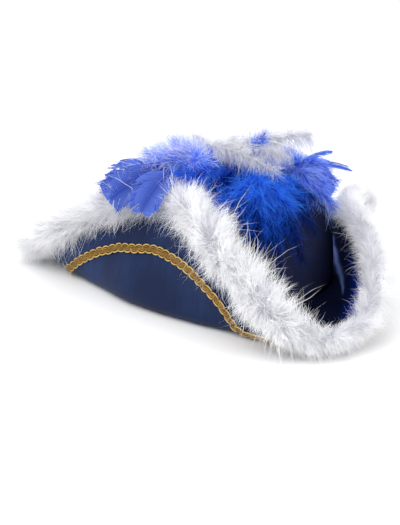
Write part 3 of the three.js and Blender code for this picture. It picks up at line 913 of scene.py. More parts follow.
    @staticmethod
    def aim(tree: Tree, given: Node) -> tuple[Node, Socket]:
        """Where each barb points: along comb, drawn to its tuft's middle, and strayed at random.

        Args:
            tree: The tree.
            given: The group's input node.

        Returns:
            The direction, and a number from 0 to 1 that barbs of one tuft share.
        """
        aim = add_node(tree, NAMED, {"Name": "comb"}, data_type="FLOAT_VECTOR")
        here = add_node(tree, "GeometryNodeInputPosition")
        cell = add_node(tree, "ShaderNodeTexVoronoi", {"Vector": here, "Scale": out(given, "Tuft Size")})
        inwards = add_node(tree, VECTORS, {0: out(cell, "Position"), 1: here}, operation="SUBTRACT")
        lean = add_node(tree, VECTORS, {0: out(cell, "Color"), 1: (0.5, 0.5, 0.5)}, operation="SUBTRACT")
        twice = add_node(tree, MATH, {0: out(given, "Tuft Lean"), 1: 2.0}, operation="MULTIPLY")
        ends = {0: (-1, -1, -1), 1: (1, 1, 1), "Seed": out(given, "Seed")}
        wander = add_node(tree, RANDOM, ends, data_type="FLOAT_VECTOR")
        for part, share in ((lean, twice), (wander, out(given, "Jitter"))):
            moved = add_node(tree, VECTORS, {0: part, "Scale": share}, operation="SCALE")
            aim = add_node(tree, VECTORS, {0: aim, 1: moved}, operation="ADD")
        drawn = add_node(tree, VECTORS, {0: inwards, "Scale": out(given, "Tuft")}, operation="SCALE")
        long = add_node(tree, VECTORS, {0: aim, "Scale": out(given, "Length")}, operation="SCALE")
        return add_node(tree, VECTORS, {0: long, 1: drawn}, operation="ADD"), out(cell, "Color")

    @staticmethod
    def clump(tree: Tree, geometry: Node, given: Node) -> Node:
        """Draws the barbs' tips together into locks, lets them hang and keeps them within reach.

        Args:
            tree: The tree.
            geometry: The barbs.
            given: The group's input node, with Clump, Clump Scale and Droop.

        Returns:
            The node whose geometry is the moved barbs.
        """
        tip = add_node(tree, NAMED, {"Name": "tip"}, data_type="FLOAT")
        eased = add_node(tree, MATH, {0: tip, 1: 1.6}, operation="POWER")
        here = add_node(tree, "GeometryNodeInputPosition")
        cells = add_node(tree, NOISE, {"Vector": here, "Scale": out(given, "Clump Scale"), "Detail": 1.0})
        centred = add_node(tree, VECTORS, {0: out(cells, 1), 1: (0.5, 0.5, 0.5)}, operation="SUBTRACT")
        pull, fall = (
            add_node(tree, MATH, {0: eased, 1: out(given, key)}, operation="MULTIPLY")
            for key in ("Clump", "Droop")
        )
        twice = add_node(tree, MATH, {0: pull, 1: 2.0}, operation="MULTIPLY")
        drawn = add_node(tree, VECTORS, {0: centred, "Scale": twice}, operation="SCALE")
        down = add_node(tree, VECTORS, {0: (0, 0, -1), "Scale": fall}, operation="SCALE")
        offset = add_node(tree, VECTORS, {0: drawn, 1: down}, operation="ADD")
        moved = add_node(tree, MOVE, {"Geometry": geometry, "Offset": offset})
        kept = add_node(tree, "GeometryNodeInputPosition")
        for limit, way in ((REACH_LOW, "MAXIMUM"), (REACH_HIGH, "MINIMUM")):
            kept = add_node(tree, VECTORS, {0: kept, 1: limit}, operation=way)
        return add_node(tree, MOVE, {"Geometry": moved, "Position": kept})

    def placed(self, name: str, shapes: Sequence[Thing]) -> None:
        """The tree that sets one shape on each point, its +Z along comb and its +Y along face.

        Args:
            name: The tree's name.
            shapes: The shapes to pick from.
        """
        tree, given = self.start(name, {"Size": mm(10), "Seed": 1, "Finish": None})
        comb, face = (
            add_node(tree, NAMED, {"Name": key}, data_type="FLOAT_VECTOR") for key in ("comb", "face")
        )
        reach = add_node(tree, NAMED, {"Name": "reach"}, data_type="FLOAT")
        turned = add_node(tree, ALIGN, {"Vector": comb}, axis="Z")
        faced = add_node(tree, ALIGN, {"Rotation": turned, "Vector": face}, axis="Y", pivot_axis="Z")
        size = add_node(tree, MATH, {0: reach, 1: out(given, "Size")}, operation="MULTIPLY")
        places = {"Points": out(given, "Geometry"), "Rotation": faced, "Scale": size}
        real = self.scatter(tree, shapes, places, out(given, "Seed"), (1.0, 0.0))
        dressed = add_node(tree, DRESS, {"Geometry": real, "Material": out(given, "Finish")})
        add_node(tree, "NodeGroupOutput", {"Geometry": dressed})


def run_tree(guide: Thing, tree: Tree, values: dict[str, object], name: str) -> Thing:
    """Puts a tree on a guide, sets its inputs, keeps the result as a plain mesh and removes the guide.

    Args:
        guide: The object that the tree reads.
        tree: The tree.
        values: Its inputs by name.
        name: Name of the finished piece.

    Returns:
        The finished object.
    """
    modifier = guide.modifiers.new(name, "NODES")
    modifier.node_group = tree
    ids = {s.name: s.identifier for s in tree.interface.items_tree if s.in_out == "INPUT"}
    for key, value in values.items():
        modifier[ids[key]] = value
    graph = bpy.context.evaluated_depsgraph_get()
    mesh = bpy.data.meshes.new_from_object(guide.evaluated_get(graph), depsgraph=graph)
    mesh.name = name
    bpy.data.objects.remove(guide)
    return linked(bpy.data.objects.new(name, mesh))


# Sub-assemblies


@dataclass
class Brim:
    """The brim: one satin sheet with its level floor and three turned-up panels.

    Attributes:
        turns: Columns of points round the hat.
        floor_rows: Rows of points over the floor.
        bend_rows: Rows round the bend.
        panel_rows: Rows up the panels.
        ripple: How far the panels ripple.
        girth: The radius that the cloth's UV map is laid out at.
    """

    form: HatForm
    turns: int = 240
    floor_rows: int = 32
    bend_rows: int = 8
    panel_rows: int = 14
    ripple: float = 0.7
    girth: float = 140.0

    def places(self) -> Array:
        """The cloth line's places from the head opening to the edge."""
        floor = np.linspace(0, 1, self.floor_rows, endpoint=False)
        bend = np.linspace(1, 2, self.bend_rows, endpoint=False)
        return np.concatenate([floor, bend, np.linspace(2, 3, self.panel_rows)])

    def painted_gleam(self, turn: Array, place: Array) -> Array:
        """How much painted highlight each point of the inner face gets, along one soft band where a fold
        would catch the light.

        Args:
            turn: Turns in degrees.
            place: The cloth line's places.

        Returns:
            Shares from 0 to 1 by row and column.
        """
        turns = [240, 258, 276, 293, 309, 320, 330]
        middle = np.interp(turn, turns, [0.68, 0.54, 0.32, 0.24, 0.3, 0.42, 0.56])
        width = np.interp(turn, turns, [0.03, 0.045, 0.06, 0.065, 0.04, 0.02, 0.01])
        along = np.clip((turn - 240) / 8, 0, 1) * np.clip((326 - turn) / 8, 0, 1)
        return along * np.exp(-(((place - middle) / width) ** 2))

    def painted_glow(self, turn: Array, place: Array) -> Array:
        """How much painted glow, as of light through the cloth, each point of the inner face gets, low on the
        left panel.
        """
        middle = np.interp(turn, [262, 278, 297, 316, 331, 343], [0.96, 0.84, 0.76, 0.88, 1.0, 1.1])
        along = np.interp(turn, [255, 285, 305, 335, 350], [0, 0.3, 0.9, 0.9, 0])
        width = 0.2
        return along * np.exp(-(((place - middle) / width) ** 2))

    def build(self) -> Thing:
        """Makes the sheet with its outer and inner face and its two cut edges."""
        turn = np.linspace(0, 360, self.turns, endpoint=False)[:, None]
        place = self.places()[None]
        middle = self.form.cloth_line(turn, place)
        round_hat = np.roll(middle, -1, 0) - np.roll(middle, 1, 0)
        outwards = np.gradient(middle, axis=1)
        normal = unit(np.cross(outwards, round_hat))
        a = np.radians(turn)
        wave = np.sin(7 * a + 1.3) * 0.5 + np.sin(13 * a + 3.1 * place) * 0.3
        wave = wave + np.sin(4 * a - 2.0 * place) * 0.4
        swell = np.clip(place - 1.7, 0, 1) * self.ripple
        middle = middle + normal * (wave * swell)[..., None]
        half = self.form.cloth / 2
        rows, columns = middle.shape[:2]
        outer, inner = middle + normal * half, middle - normal * half
        count = rows * columns
        quads = grid_faces(rows, columns, wrap_rows=True)
        faces_out, faces_in = quads[:, ::-1], quads + count
        i = np.arange(rows)
        k = (i + 1) % rows
        edges = []
        for j, flip in ((0, False), (columns - 1, True)):
            here, ahead = i * columns + j, k * columns + j
            quad = np.stack([here, ahead, count + ahead, count + here], -1)
            edges.append(quad[:, ::-1] if flip else quad)
        faces = np.concatenate([faces_out, faces_in, *edges])
        slots = np.concatenate([np.zeros(len(faces_out)), np.ones(len(faces_in)), np.zeros(2 * rows)])
        points = mm(np.concatenate([outer.reshape(-1, 3), inner.reshape(-1, 3)]))
        satins = [OUTER_SATIN.material(), INNER_SATIN.material()]
        brim = mesh_object("brim_cloth", points, faces, satins, slots)
        run = np.cumsum(np.linalg.norm(np.diff(middle, axis=1, prepend=middle[:, :1]), axis=-1), axis=1)
        across = np.broadcast_to(np.radians(turn) * self.girth, run.shape)
        uv = mm(np.stack([across, run], -1).reshape(-1, 2))
        set_cloth_uv(brim, np.concatenate([uv, uv]))
        # Painted highlight and painted glow, on the inner face only.
        for name, shares in (("painted_gleam", self.painted_gleam(turn, place)), ("painted_glow", self.painted_glow(turn, place))):
            set_attribute(brim, name, np.concatenate([0 * shares.ravel(), shares.ravel()]))
        return stand_in(brim, "brim")


@dataclass
class Crown:
    """The crown: a hollow domed cap of satin standing on the brim's floor.

    Attributes:
        sides: Points round the cap.
        rings: Rings of points from its foot to its top.
        girth: The radius that the cloth's UV map is laid out at.
        run: Length of the cloth from foot to top on that map.
    """

    form: HatForm
    sides: int = 180
    rings: int = 26
    girth: float = 90.0
    run: float = 130.0

    def build(self) -> Thing:
        """Makes the cap with its outer face, inner face and lower edge."""
        turn = np.linspace(0, 360, self.sides, endpoint=False)[None]
        height = np.sin(np.linspace(0, 1, self.rings) * math.pi / 2)[:, None] ** 0.9
        height[-1] = 1.0
        gather = 0.5 * np.sin(np.radians(turn) * 12) * np.clip(height - 0.15, 0, 1) * (1 - height)
        outer = self.form.dome(turn, height, self.form.cloth) + self.form.heading(turn) * gather[..., None]
        inner = self.form.dome(turn, height, 0.0)
        inner[0, :, 2] = outer[0, :, 2] = self.form.cloth + self.form.seam
        outer_cap, inner_cap = outer[:-1], inner[:-1]
        top_out = self.form.axis + UP * self.form.crown_rise
        top_in = top_out - UP * self.form.cloth
        rows, columns = outer_cap.shape[:2]
        count = rows * columns
        points = np.concatenate([outer_cap.reshape(-1, 3), inner_cap.reshape(-1, 3), [top_out], [top_in]])
        quads_out = grid_faces(rows, columns, wrap_columns=True)
        quads_in = quads_out + count
        i = np.arange(columns)
        k = (i + 1) % columns
        rim = np.stack([i, k, count + k, count + i], -1)
        last = (rows - 1) * columns
        fan_out = np.stack([last + i, last + k, np.full(columns, 2 * count)], -1)
        fan_in = np.stack([count + last + i, count + last + k, np.full(columns, 2 * count + 1)], -1)
        sheets = (quads_out[:, ::-1], quads_in, rim, fan_out[:, ::-1], fan_in)
        faces = [face for sheet in sheets for face in sheet.tolist()]
        slots = np.repeat([0, 1, 0, 0, 1], [len(sheet) for sheet in sheets])
        satins = [CROWN_SATIN.material(), OUTER_SATIN.material()]
        crown = mesh_object("crown_cloth", mm(points), faces, satins, slots)
        around, up = np.broadcast_arrays(np.radians(turn) * self.girth, height[:-1] * self.run)
        uv = mm(np.stack([around, up], -1).reshape(-1, 2))
        top = [[0, mm(self.run)]]
        set_cloth_uv(crown, np.concatenate([uv, uv, top, top]))
        return stand_in(crown, "crown")


@dataclass(frozen=True)
class Panel:
    """One turned-up side of the brim.

    Attributes:
        name: The side's name.
        start: Turn of its first corner.
        end: Turn of its last corner.
        braid_start: Degrees from the first corner to the braid.
        braid_end: Degrees from the braid to the last corner.
    """

    name: str
    start: float
    end: float
    braid_start: float
    braid_end: float


PANELS = (Panel("right", 0, 120, 10, 14), Panel("back", 120, 240, 14, 14), Panel("left", 240, 360, 14, 10))


@dataclass
class MarabouTrim:
    """White marabou along a panel's edge: a soft core round the edge with barbs that stand out of it.

    Attributes:
        radius: Distance from the edge to the barbs' tips where the fur is one full.
        core: The core's radius as a share of it.
        density: Barbs on a square millimetre of the core.
        stations: Points along the core.
        sides: Points round the core.
        floor: The lowest that the core comes to the table.
    """

    form: HatForm
    panel: Panel
    trees: TreeBuilder
    radius: float = 20.0
    core: float = 0.4
    density: float = 1.7
    stations: int = 150
    sides: int = 18
    floor: float = 4.0

    def guide(self) -> Thing:
        """The core's tube with its comb, reach and thick attributes."""
        f, p = self.form, self.panel
        turn = np.linspace(p.start + 0.15, p.end - 0.15, self.stations)
        edge, below = (f.panel_frame(turn, share)[0] for share in (1.0, 0.8))
        wall = unit(edge - below)
        radial = f.heading(turn)
        face = unit(radial - wall * np.sum(radial * wall, -1, keepdims=True))
        ahead = unit(np.gradient(edge, axis=0))
        across = unit(np.cross(radial, wall))
        slant = np.minimum(1 / np.maximum(np.abs(np.sum(across * ahead, -1)), 0.05), 1.4)[:, None]
        angle = np.linspace(-math.pi, math.pi, self.sides, endpoint=False)
        upright, aside = (wave(angle)[None, :, None] for wave in (np.cos, np.sin))
        spread = wall[:, None] * upright + face[:, None] * aside
        inner, outer = (np.interp(turn % 360, FUR_ROWS[:, 0], FUR_ROWS[:, k])[:, None] for k in (1, 2))
        fullness = inner + (outer - inner) * (1 + np.sin(angle)) / 2
        fullness = fullness * np.hypot(np.cos(angle), np.sin(angle) * slant)
        t = np.radians(turn)[:, None]
        lumps = 1 + 0.1 * np.sin(t * 31 + angle * 2) + 0.08 * np.sin(t * 53 - angle * 3 + 1.1)
        radius = self.radius * fullness * lumps * self.core
        points = edge[:, None] + spread * radius[..., None]
        points[..., 2] = np.maximum(points[..., 2], self.floor)
        rows, columns = points.shape[:2]
        faces = grid_faces(rows, columns, wrap_columns=True)[:, ::-1].tolist()
        faces.append(list(range(columns)))
        faces.append([(rows - 1) * columns + k for k in reversed(range(columns))])
        guide = mesh_object(f"guide_{p.name}", mm(points.reshape(-1, 3)), faces)
        swirl = ahead[:, None] * (0.4 * np.sin(t * 23 + angle) + 0.2 * np.sin(t * 61 + 2 * angle))[..., None]
        comb = unit(spread + swirl - UP * 0.15)
        set_attribute(guide, "comb", comb.reshape(-1, 3))
        set_attribute(guide, "reach", (fullness * (1 + 0.12 * np.sin(t * 43 + 3 * angle))).ravel())
        set_attribute(guide, "thick", (1 / np.sqrt(fullness)).ravel())
        return guide

    def build(self) -> Thing:
        """Covers the core with barbs."""
        name, white = self.panel.name, WHITE_DOWN.material()
        values = {
            "Density": self.density * MICRO, "Length": mm(self.radius * (1 - self.core) * 1.02),
            "Spread": 0.3, "Jitter": 0.36, "Tuft": 0.5, "Tuft Lean": 0.28, "Tuft Size": per_metre(6.0),
            "Stray": 0.04, "Clump": mm(3.6), "Clump Scale": 110.0, "Droop": mm(1.0), "Seed": 3 + len(name),
            "Barb Finish": white, "Core Finish": white
        }
        trim = run_tree(self.guide(), self.trees.made["down_fluff"], values, f"marabou_trim_{name}")
        return stand_in(trim, f"marabou_{name}")


@dataclass
class GimpBraid:
    """Gold gimp braid on a panel: a woven ground, threads that loop out to its scalloped sides, two cords.

    Attributes:
        width: The braid's width.
        pitch: Length of a scallop.
        cord: Radius of each of the two cords.
        step: Distance between the rows of the ground.
        lift: How far the ground stands off the cloth.
        thread_turn: Turn at which a loose end of thread stands off the right braid.
        seed: Seed of the loops' windings.
        arch: The braid's line over a panel, as shares of its length with shares of the panel's height.
    """

    form: HatForm
    panel: Panel
    trees: TreeBuilder
    width: float = 8.6
    pitch: float = 8.6
    cord: float = 0.5
    step: float = 1.1
    lift: float = 0.8
    thread_turn: float = 34.4
    seed: int = 4
    arch: tuple[tuple[float, float], ...] = (
        (0, 0.3), (0.04, 0.26), (0.09, 0.28), (0.148, 0.53), (0.211, 0.62), (0.348, 0.66), (0.5, 0.67),
        (0.6, 0.655), (0.701, 0.64), (0.76, 0.61), (0.819, 0.58), (0.909, 0.46), (1, 0.18)
    )

    def path(self) -> tuple[Array, Array]:
        """Turns and heights along the arch, close together."""
        rows = np.array(self.arch)
        padded = np.vstack([2 * rows[0] - rows[1], rows, 2 * rows[-1] - rows[-2]])
        points = []
        for k in range(len(rows) - 1):
            p0, p1, p2, p3 = padded[k : k + 4]
            s = np.linspace(0, 1, 24, endpoint=False)[:, None]
            first, second, third = p2 - p0, 2 * p0 - 5 * p1 + 4 * p2 - p3, 3 * p1 - p0 - 3 * p2 + p3
            points.append(p1 + (first * s + second * s**2 + third * s**3) / 2)
        curve = np.vstack([*points, rows[-1:]])
        if self.panel.name == "back":
            rear = curve[len(curve) // 2 :]
            front = np.column_stack([1 - rear[:, 0], rear[:, 1]])[::-1]
            curve = np.vstack([front, rear])
        if self.panel.name == "left":
            curve = np.column_stack([1 - curve[:, 0], curve[:, 1]])[::-1]
        first = self.panel.start + self.panel.braid_start
        last = self.panel.end - self.panel.braid_end
        return first + (last - first) * curve[:, 0], curve[:, 1]

    def stations(self, step: float) -> tuple[Array, Array, Array]:
        """Evenly spaced points on the panel's face under the braid.

        Args:
            step: Distance between points.

        Returns:
            The points, the directions across the braid and those out of the cloth.
        """
        turn, share = self.path()
        here, _ = self.form.panel_frame(turn, share)
        run = np.concatenate([[0], np.cumsum(np.linalg.norm(np.diff(here, axis=0), axis=1))])
        count = max(int(round(run[-1] / step)), 2)
        at = np.linspace(0, run[-1], count + 1)
        turn, share = np.interp(at, run, turn), np.interp(at, run, share)
        here, normal = self.form.panel_frame(turn, share)
        along = unit(np.gradient(here, axis=0))
        across = unit(np.cross(normal, along))
        return here + normal * (self.form.cloth / 2 + self.lift), across, normal

    def loops(self) -> list[Thing]:
        """The looped threads of one scallop in three slightly different windings, of unit length along +Z."""
        made = []
        rng = np.random.default_rng(self.seed)
        spread = self.pitch / self.width
        for i in range(3):
            loop = Gathered()
            # The tones paint light and shade: the outer ring and each loop's middle are lit, and the middle
            # ring and the loops' ends are in painted shade.
            for ring, tone, girth in ((0.97, 1.0, 0.14), (0.7, 0.12, 0.1), (0.48, 0.6, 0.1)):
                s = np.linspace(0, 1, 11)
                angle = math.pi * s
                wide = spread * (0.5 + 0.5 * ring) * (1 + rng.uniform(-0.03, 0.03))
                above = 0.1 + 0.12 * np.sin(angle) * (1.3 - 0.5 * ring)
                path = np.stack([wide * np.cos(angle), above, (ring - 0.1) * np.sin(angle) ** 0.55], -1)
                tones = np.repeat(tone * (0.4 + 0.6 * np.sin(angle)), 5)
                loop.add(*tube(path, np.full(len(path), girth), 5), tone=tones)
            made.append(loop.build(f"gimp_loop_{i}", units=1.0))
        return made

    def ground(self, finish: Material) -> Thing:
        """The woven ground under the loops and the two cords twisted round each other on top."""
        here, across, normal = self.stations(self.step)
        half = self.width * 0.3
        side = np.array([-1.0, -0.4, 0.4, 1.0])[None, :, None] * half
        rise = np.array([-0.5, 0.15, 0.15, -0.5])[None, :, None]
        sheet = here[:, None] + across[:, None] * side + normal[:, None] * rise
        made = Gathered()
        made.add(sheet, grid_faces(len(here), 4), tone=0.2, shade=0.5)
        s = np.arange(len(here)) * self.step / self.pitch * 4 * math.pi
        for phase in (0.0, math.pi):
            sideways, above = 0.55 * np.cos(s + phase), 0.95 + 0.3 * np.sin(s + phase)
            wave = across * sideways[:, None] + normal * above[:, None]
            radii = np.full(len(here), self.cord)
            radii[[0, -1]] = 0.05
            made.add(*tube(here + wave, radii, 6), tone=0.42, shade=0.5)
        if self.panel.name == "right":
            foot = self.form.axis - here
            k = int(np.abs(np.degrees(np.arctan2(foot[:, 0], foot[:, 1])) - self.thread_turn).argmin())
            s = np.linspace(0, 1, 12)[:, None]
            strand = here[k] - across[k] * (1.0 + 12.0 * s) + normal[k] * (0.8 + 9.0 * s**0.7)
            radii = np.interp(s[:, 0], [0, 0.8, 1], [0.5, 0.4, 0.15])
            made.add(*tube(strand, radii, 5), tone=0.3, shade=0.5)
        return made.build(f"ground_{self.panel.name}", [finish])

    def build(self) -> Thing:
        """Sets the loops along the arch and lays the ground and the cords under them."""
        name, finish = self.panel.name, GOLD_THREAD.material()
        here, across, normal = self.stations(self.pitch / 2)
        sides = np.where(np.arange(len(here)) % 2 == 0, 1.0, -1.0)[:, None]
        guide = mesh_object(f"loop_points_{name}", mm(here), [])
        set_attribute(guide, "comb", across * sides)
        set_attribute(guide, "face", normal)
        set_attribute(guide, "reach", np.ones(len(here)))
        values = {"Size": mm(self.width / 2), "Seed": 2, "Finish": finish}
        loops = run_tree(guide, self.trees.made["gimp_loops"], values, "gimp_loops")
        return stand_in(join_meshes(f"gimp_braid_{name}", [loops, self.ground(finish)]), f"braid_{name}")


@dataclass
class CrownDown:
    """The heap of saturated blue down over the crown.

    Attributes:
        foot: The heap's lower rim as turns with shares of the crown's rise.
        depth: How deep the heap's core is.
        barb: Mean length of a barb.
        density: Barbs on a square millimetre.
    """

    form: HatForm
    trees: TreeBuilder
    foot: tuple[tuple[float, float], ...] = (
        (0, 0.66), (25, 0.6), (180, 0.6), (265, 0.7), (300, 0.78), (340, 0.78), (360, 0.66)
    )
    depth: float = 6.0
    barb: float = 13.0
    density: float = 0.8

    def guide(self) -> Thing:
        """A lumpy cap that follows the dome, with its comb, reach and thick attributes."""
        turn = np.linspace(0, 360, 96, endpoint=False)[None]
        foot = np.interp(turn, [t for t, _ in self.foot], [h for _, h in self.foot])
        up = np.sin(np.linspace(0, 1, 30) * math.pi / 2)[:, None] ** 0.8
        height = foot + (0.995 - foot) * up
        t = np.radians(turn)
        lumps = 1 + 0.5 * np.sin(9 * t + 14 * height) * np.sin(22 * height + 2 * t)
        lumps = lumps + 0.25 * np.sin(17 * t + 5)
        points = self.form.dome(turn, height, self.form.cloth + self.depth * lumps * (0.5 + 0.5 * up))
        base = self.form.dome(turn, height, self.form.cloth)
        rows, columns = points.shape[:2]
        faces = grid_faces(rows, columns, wrap_columns=True)[:, ::-1].tolist()
        faces.append([(rows - 1) * columns + k for k in range(columns)])
        guide = mesh_object("guide_crown", mm(points.reshape(-1, 3)), faces)
        away = unit(points - base + UP * 0.01)
        sideways = np.stack(
            [np.cos(11 * t + 9 * height), np.sin(7 * t - 13 * height), np.sin(15 * t) + 0 * height], -1
        )
        comb = unit(away + 0.6 * sideways - UP * 0.1)
        set_attribute(guide, "comb", comb.reshape(-1, 3))
        reach = np.broadcast_to(0.55 + 0.45 * np.clip(up * 3, 0, 1), points.shape[:2])
        set_attribute(guide, "reach", reach.ravel())
        set_attribute(guide, "thick", np.ones(rows * columns))
        patches = np.sin(5 * t + 6 * height) * np.sin(11 * height - 3 * t + 1)
        patches = patches + 0.6 * np.sin(13 * t + 9 * height)
        set_attribute(guide, "tint", (0.28 * patches - 0.05).ravel())
        return guide

    def build(self, finish: Material) -> Thing:
        """Covers the cap with curled barbs."""
        values = {
            "Density": self.density * MICRO, "Length": mm(self.barb), "Spread": 0.4, "Jitter": 0.4,
            "Tuft": 0.9, "Tuft Lean": 1.0, "Tuft Size": per_metre(13.0), "Stray": 0.01, "Clump": mm(6.0),
            "Clump Scale": 110.0, "Droop": mm(1.0), "Seed": 21, "Barb Finish": finish, "Core Finish": finish,
        }
        return run_tree(self.guide(), self.trees.made["down_curl"], values, "blue_down_heap")


@dataclass(frozen=True)
class Strand:
    """One feather or lock of a group.

    Attributes:
        turn: The tip's turn.
        out_share: The tip's distance from the axis as a share of half the head's length.
        up: The tip's height as a share of the crown's rise.
        bow: How high the strand bows on its way, as a share of the group's bow.
        width: Its width as a share of the group's.
        roll: Degrees that a vane rolls over.
    """

    turn: float
    out_share: float
    up: float
    bow: float
    width: float
    roll: float = 0.0


def strand_line(form: HatForm, root: Array, strand: Strand, bow: float, count: int) -> Array:
    """Points on the bowed line from a group's root to a strand's tip.

    Args:
        form: The hat's sizes.
        root: The group's root.
        strand: The strand.
        bow: Height of the bow in millimetres for a bow of one.
        count: How many points.

    Returns:
        The points.
    """
    tip = form.spot(strand.turn, strand.out_share, strand.up)
    bend = (root + tip) / 2 + UP * strand.bow * bow
    s = np.linspace(0, 1, count)[:, None]
    return root * (1 - s) ** 2 + bend * 2 * s * (1 - s) + tip * s**2


@dataclass
class LongDown:
    """A group of long marabou locks: thin shafts with fluff along them.

    Attributes:
        name: The group's name.
        root: Its root as a turn, a share of half the head's length and a share of the crown's rise.
        strands: Its locks.
        bow: Height of a strand's bow of one.
        barb: Mean length of a barb.
        density: Barbs on a square millimetre of shaft.
        droop: How far a barb's tip hangs.
        forward: How far the barbs lean towards a lock's tip, as a slope.
        tints: What is added to the colour's level at the root, at 0.35 and 0.6 of the way and at the tip.
        end: The least fullness, at a lock's two ends.
        lock: How far the barbs' tips draw together.
        seed: Seed of the barbs.
        sides: Points round a shaft.
    """

    form: HatForm
    trees: TreeBuilder
    name: str
    root: tuple[float, float, float]
    strands: tuple[Strand, ...]
    bow: float = 17.0
    barb: float = 15.0
    density: float = 6.0
    droop: float = 4.0
    forward: float = 1.0
    tints: tuple[float, float, float, float] = (0.0, 0.0, 0.0, 0.0)
    end: float = 0.4
    lock: float = 5.0
    seed: int = 7
    sides: int = 6

    def guide(self) -> Thing:
        """The shafts as thin tapered tubes with their comb, reach and thick attributes."""
        guide, sides = Gathered(), self.sides
        root = self.form.spot(*self.root)
        for strand in self.strands:
            line = strand_line(self.form, root, strand, self.bow, 26)
            s = np.linspace(0, 1, len(line))
            radii = (0.9 + 0.1 * strand.width) * (1.0 - 0.75 * s)
            shaft, quads = tube(line, radii, sides)
            outward = unit(shaft.reshape(len(line), sides, 3) - line[:, None])
            along = unit(np.gradient(line, axis=0))[:, None]
            fullness = strand.width * np.clip(np.sin(math.pi * (s * 0.8 + 0.12)), self.end, 1)
            guide.add(
                shaft, quads, comb=unit(outward + along * self.forward).reshape(-1, 3),
                reach=np.repeat(fullness, sides), thick=np.repeat(0.5 + 0.5 * s, sides),
                tint=np.repeat(np.interp(s, [0, 0.35, 0.6, 1], self.tints), sides)
            )
        return guide.build(f"guide_{self.name}")

    def build(self, down: Material, quill: Material) -> Thing:
        """Covers the shafts with barbs.

        Args:
            down: The fluff's finish.
            quill: The shafts' finish.

        Returns:
            The group.
        """
        values = {
            "Density": self.density * MICRO, "Length": mm(self.barb), "Spread": 0.45, "Jitter": 0.25,
            "Tuft": 0.0, "Tuft Lean": 0.3, "Tuft Size": per_metre(8.0), "Stray": 0.04,
            "Clump": mm(self.lock), "Clump Scale": 90.0, "Droop": mm(self.droop), "Seed": self.seed,
            "Barb Finish": down, "Core Finish": quill,
        }
        return run_tree(self.guide(), self.trees.made["down_fluff"], values, self.name)


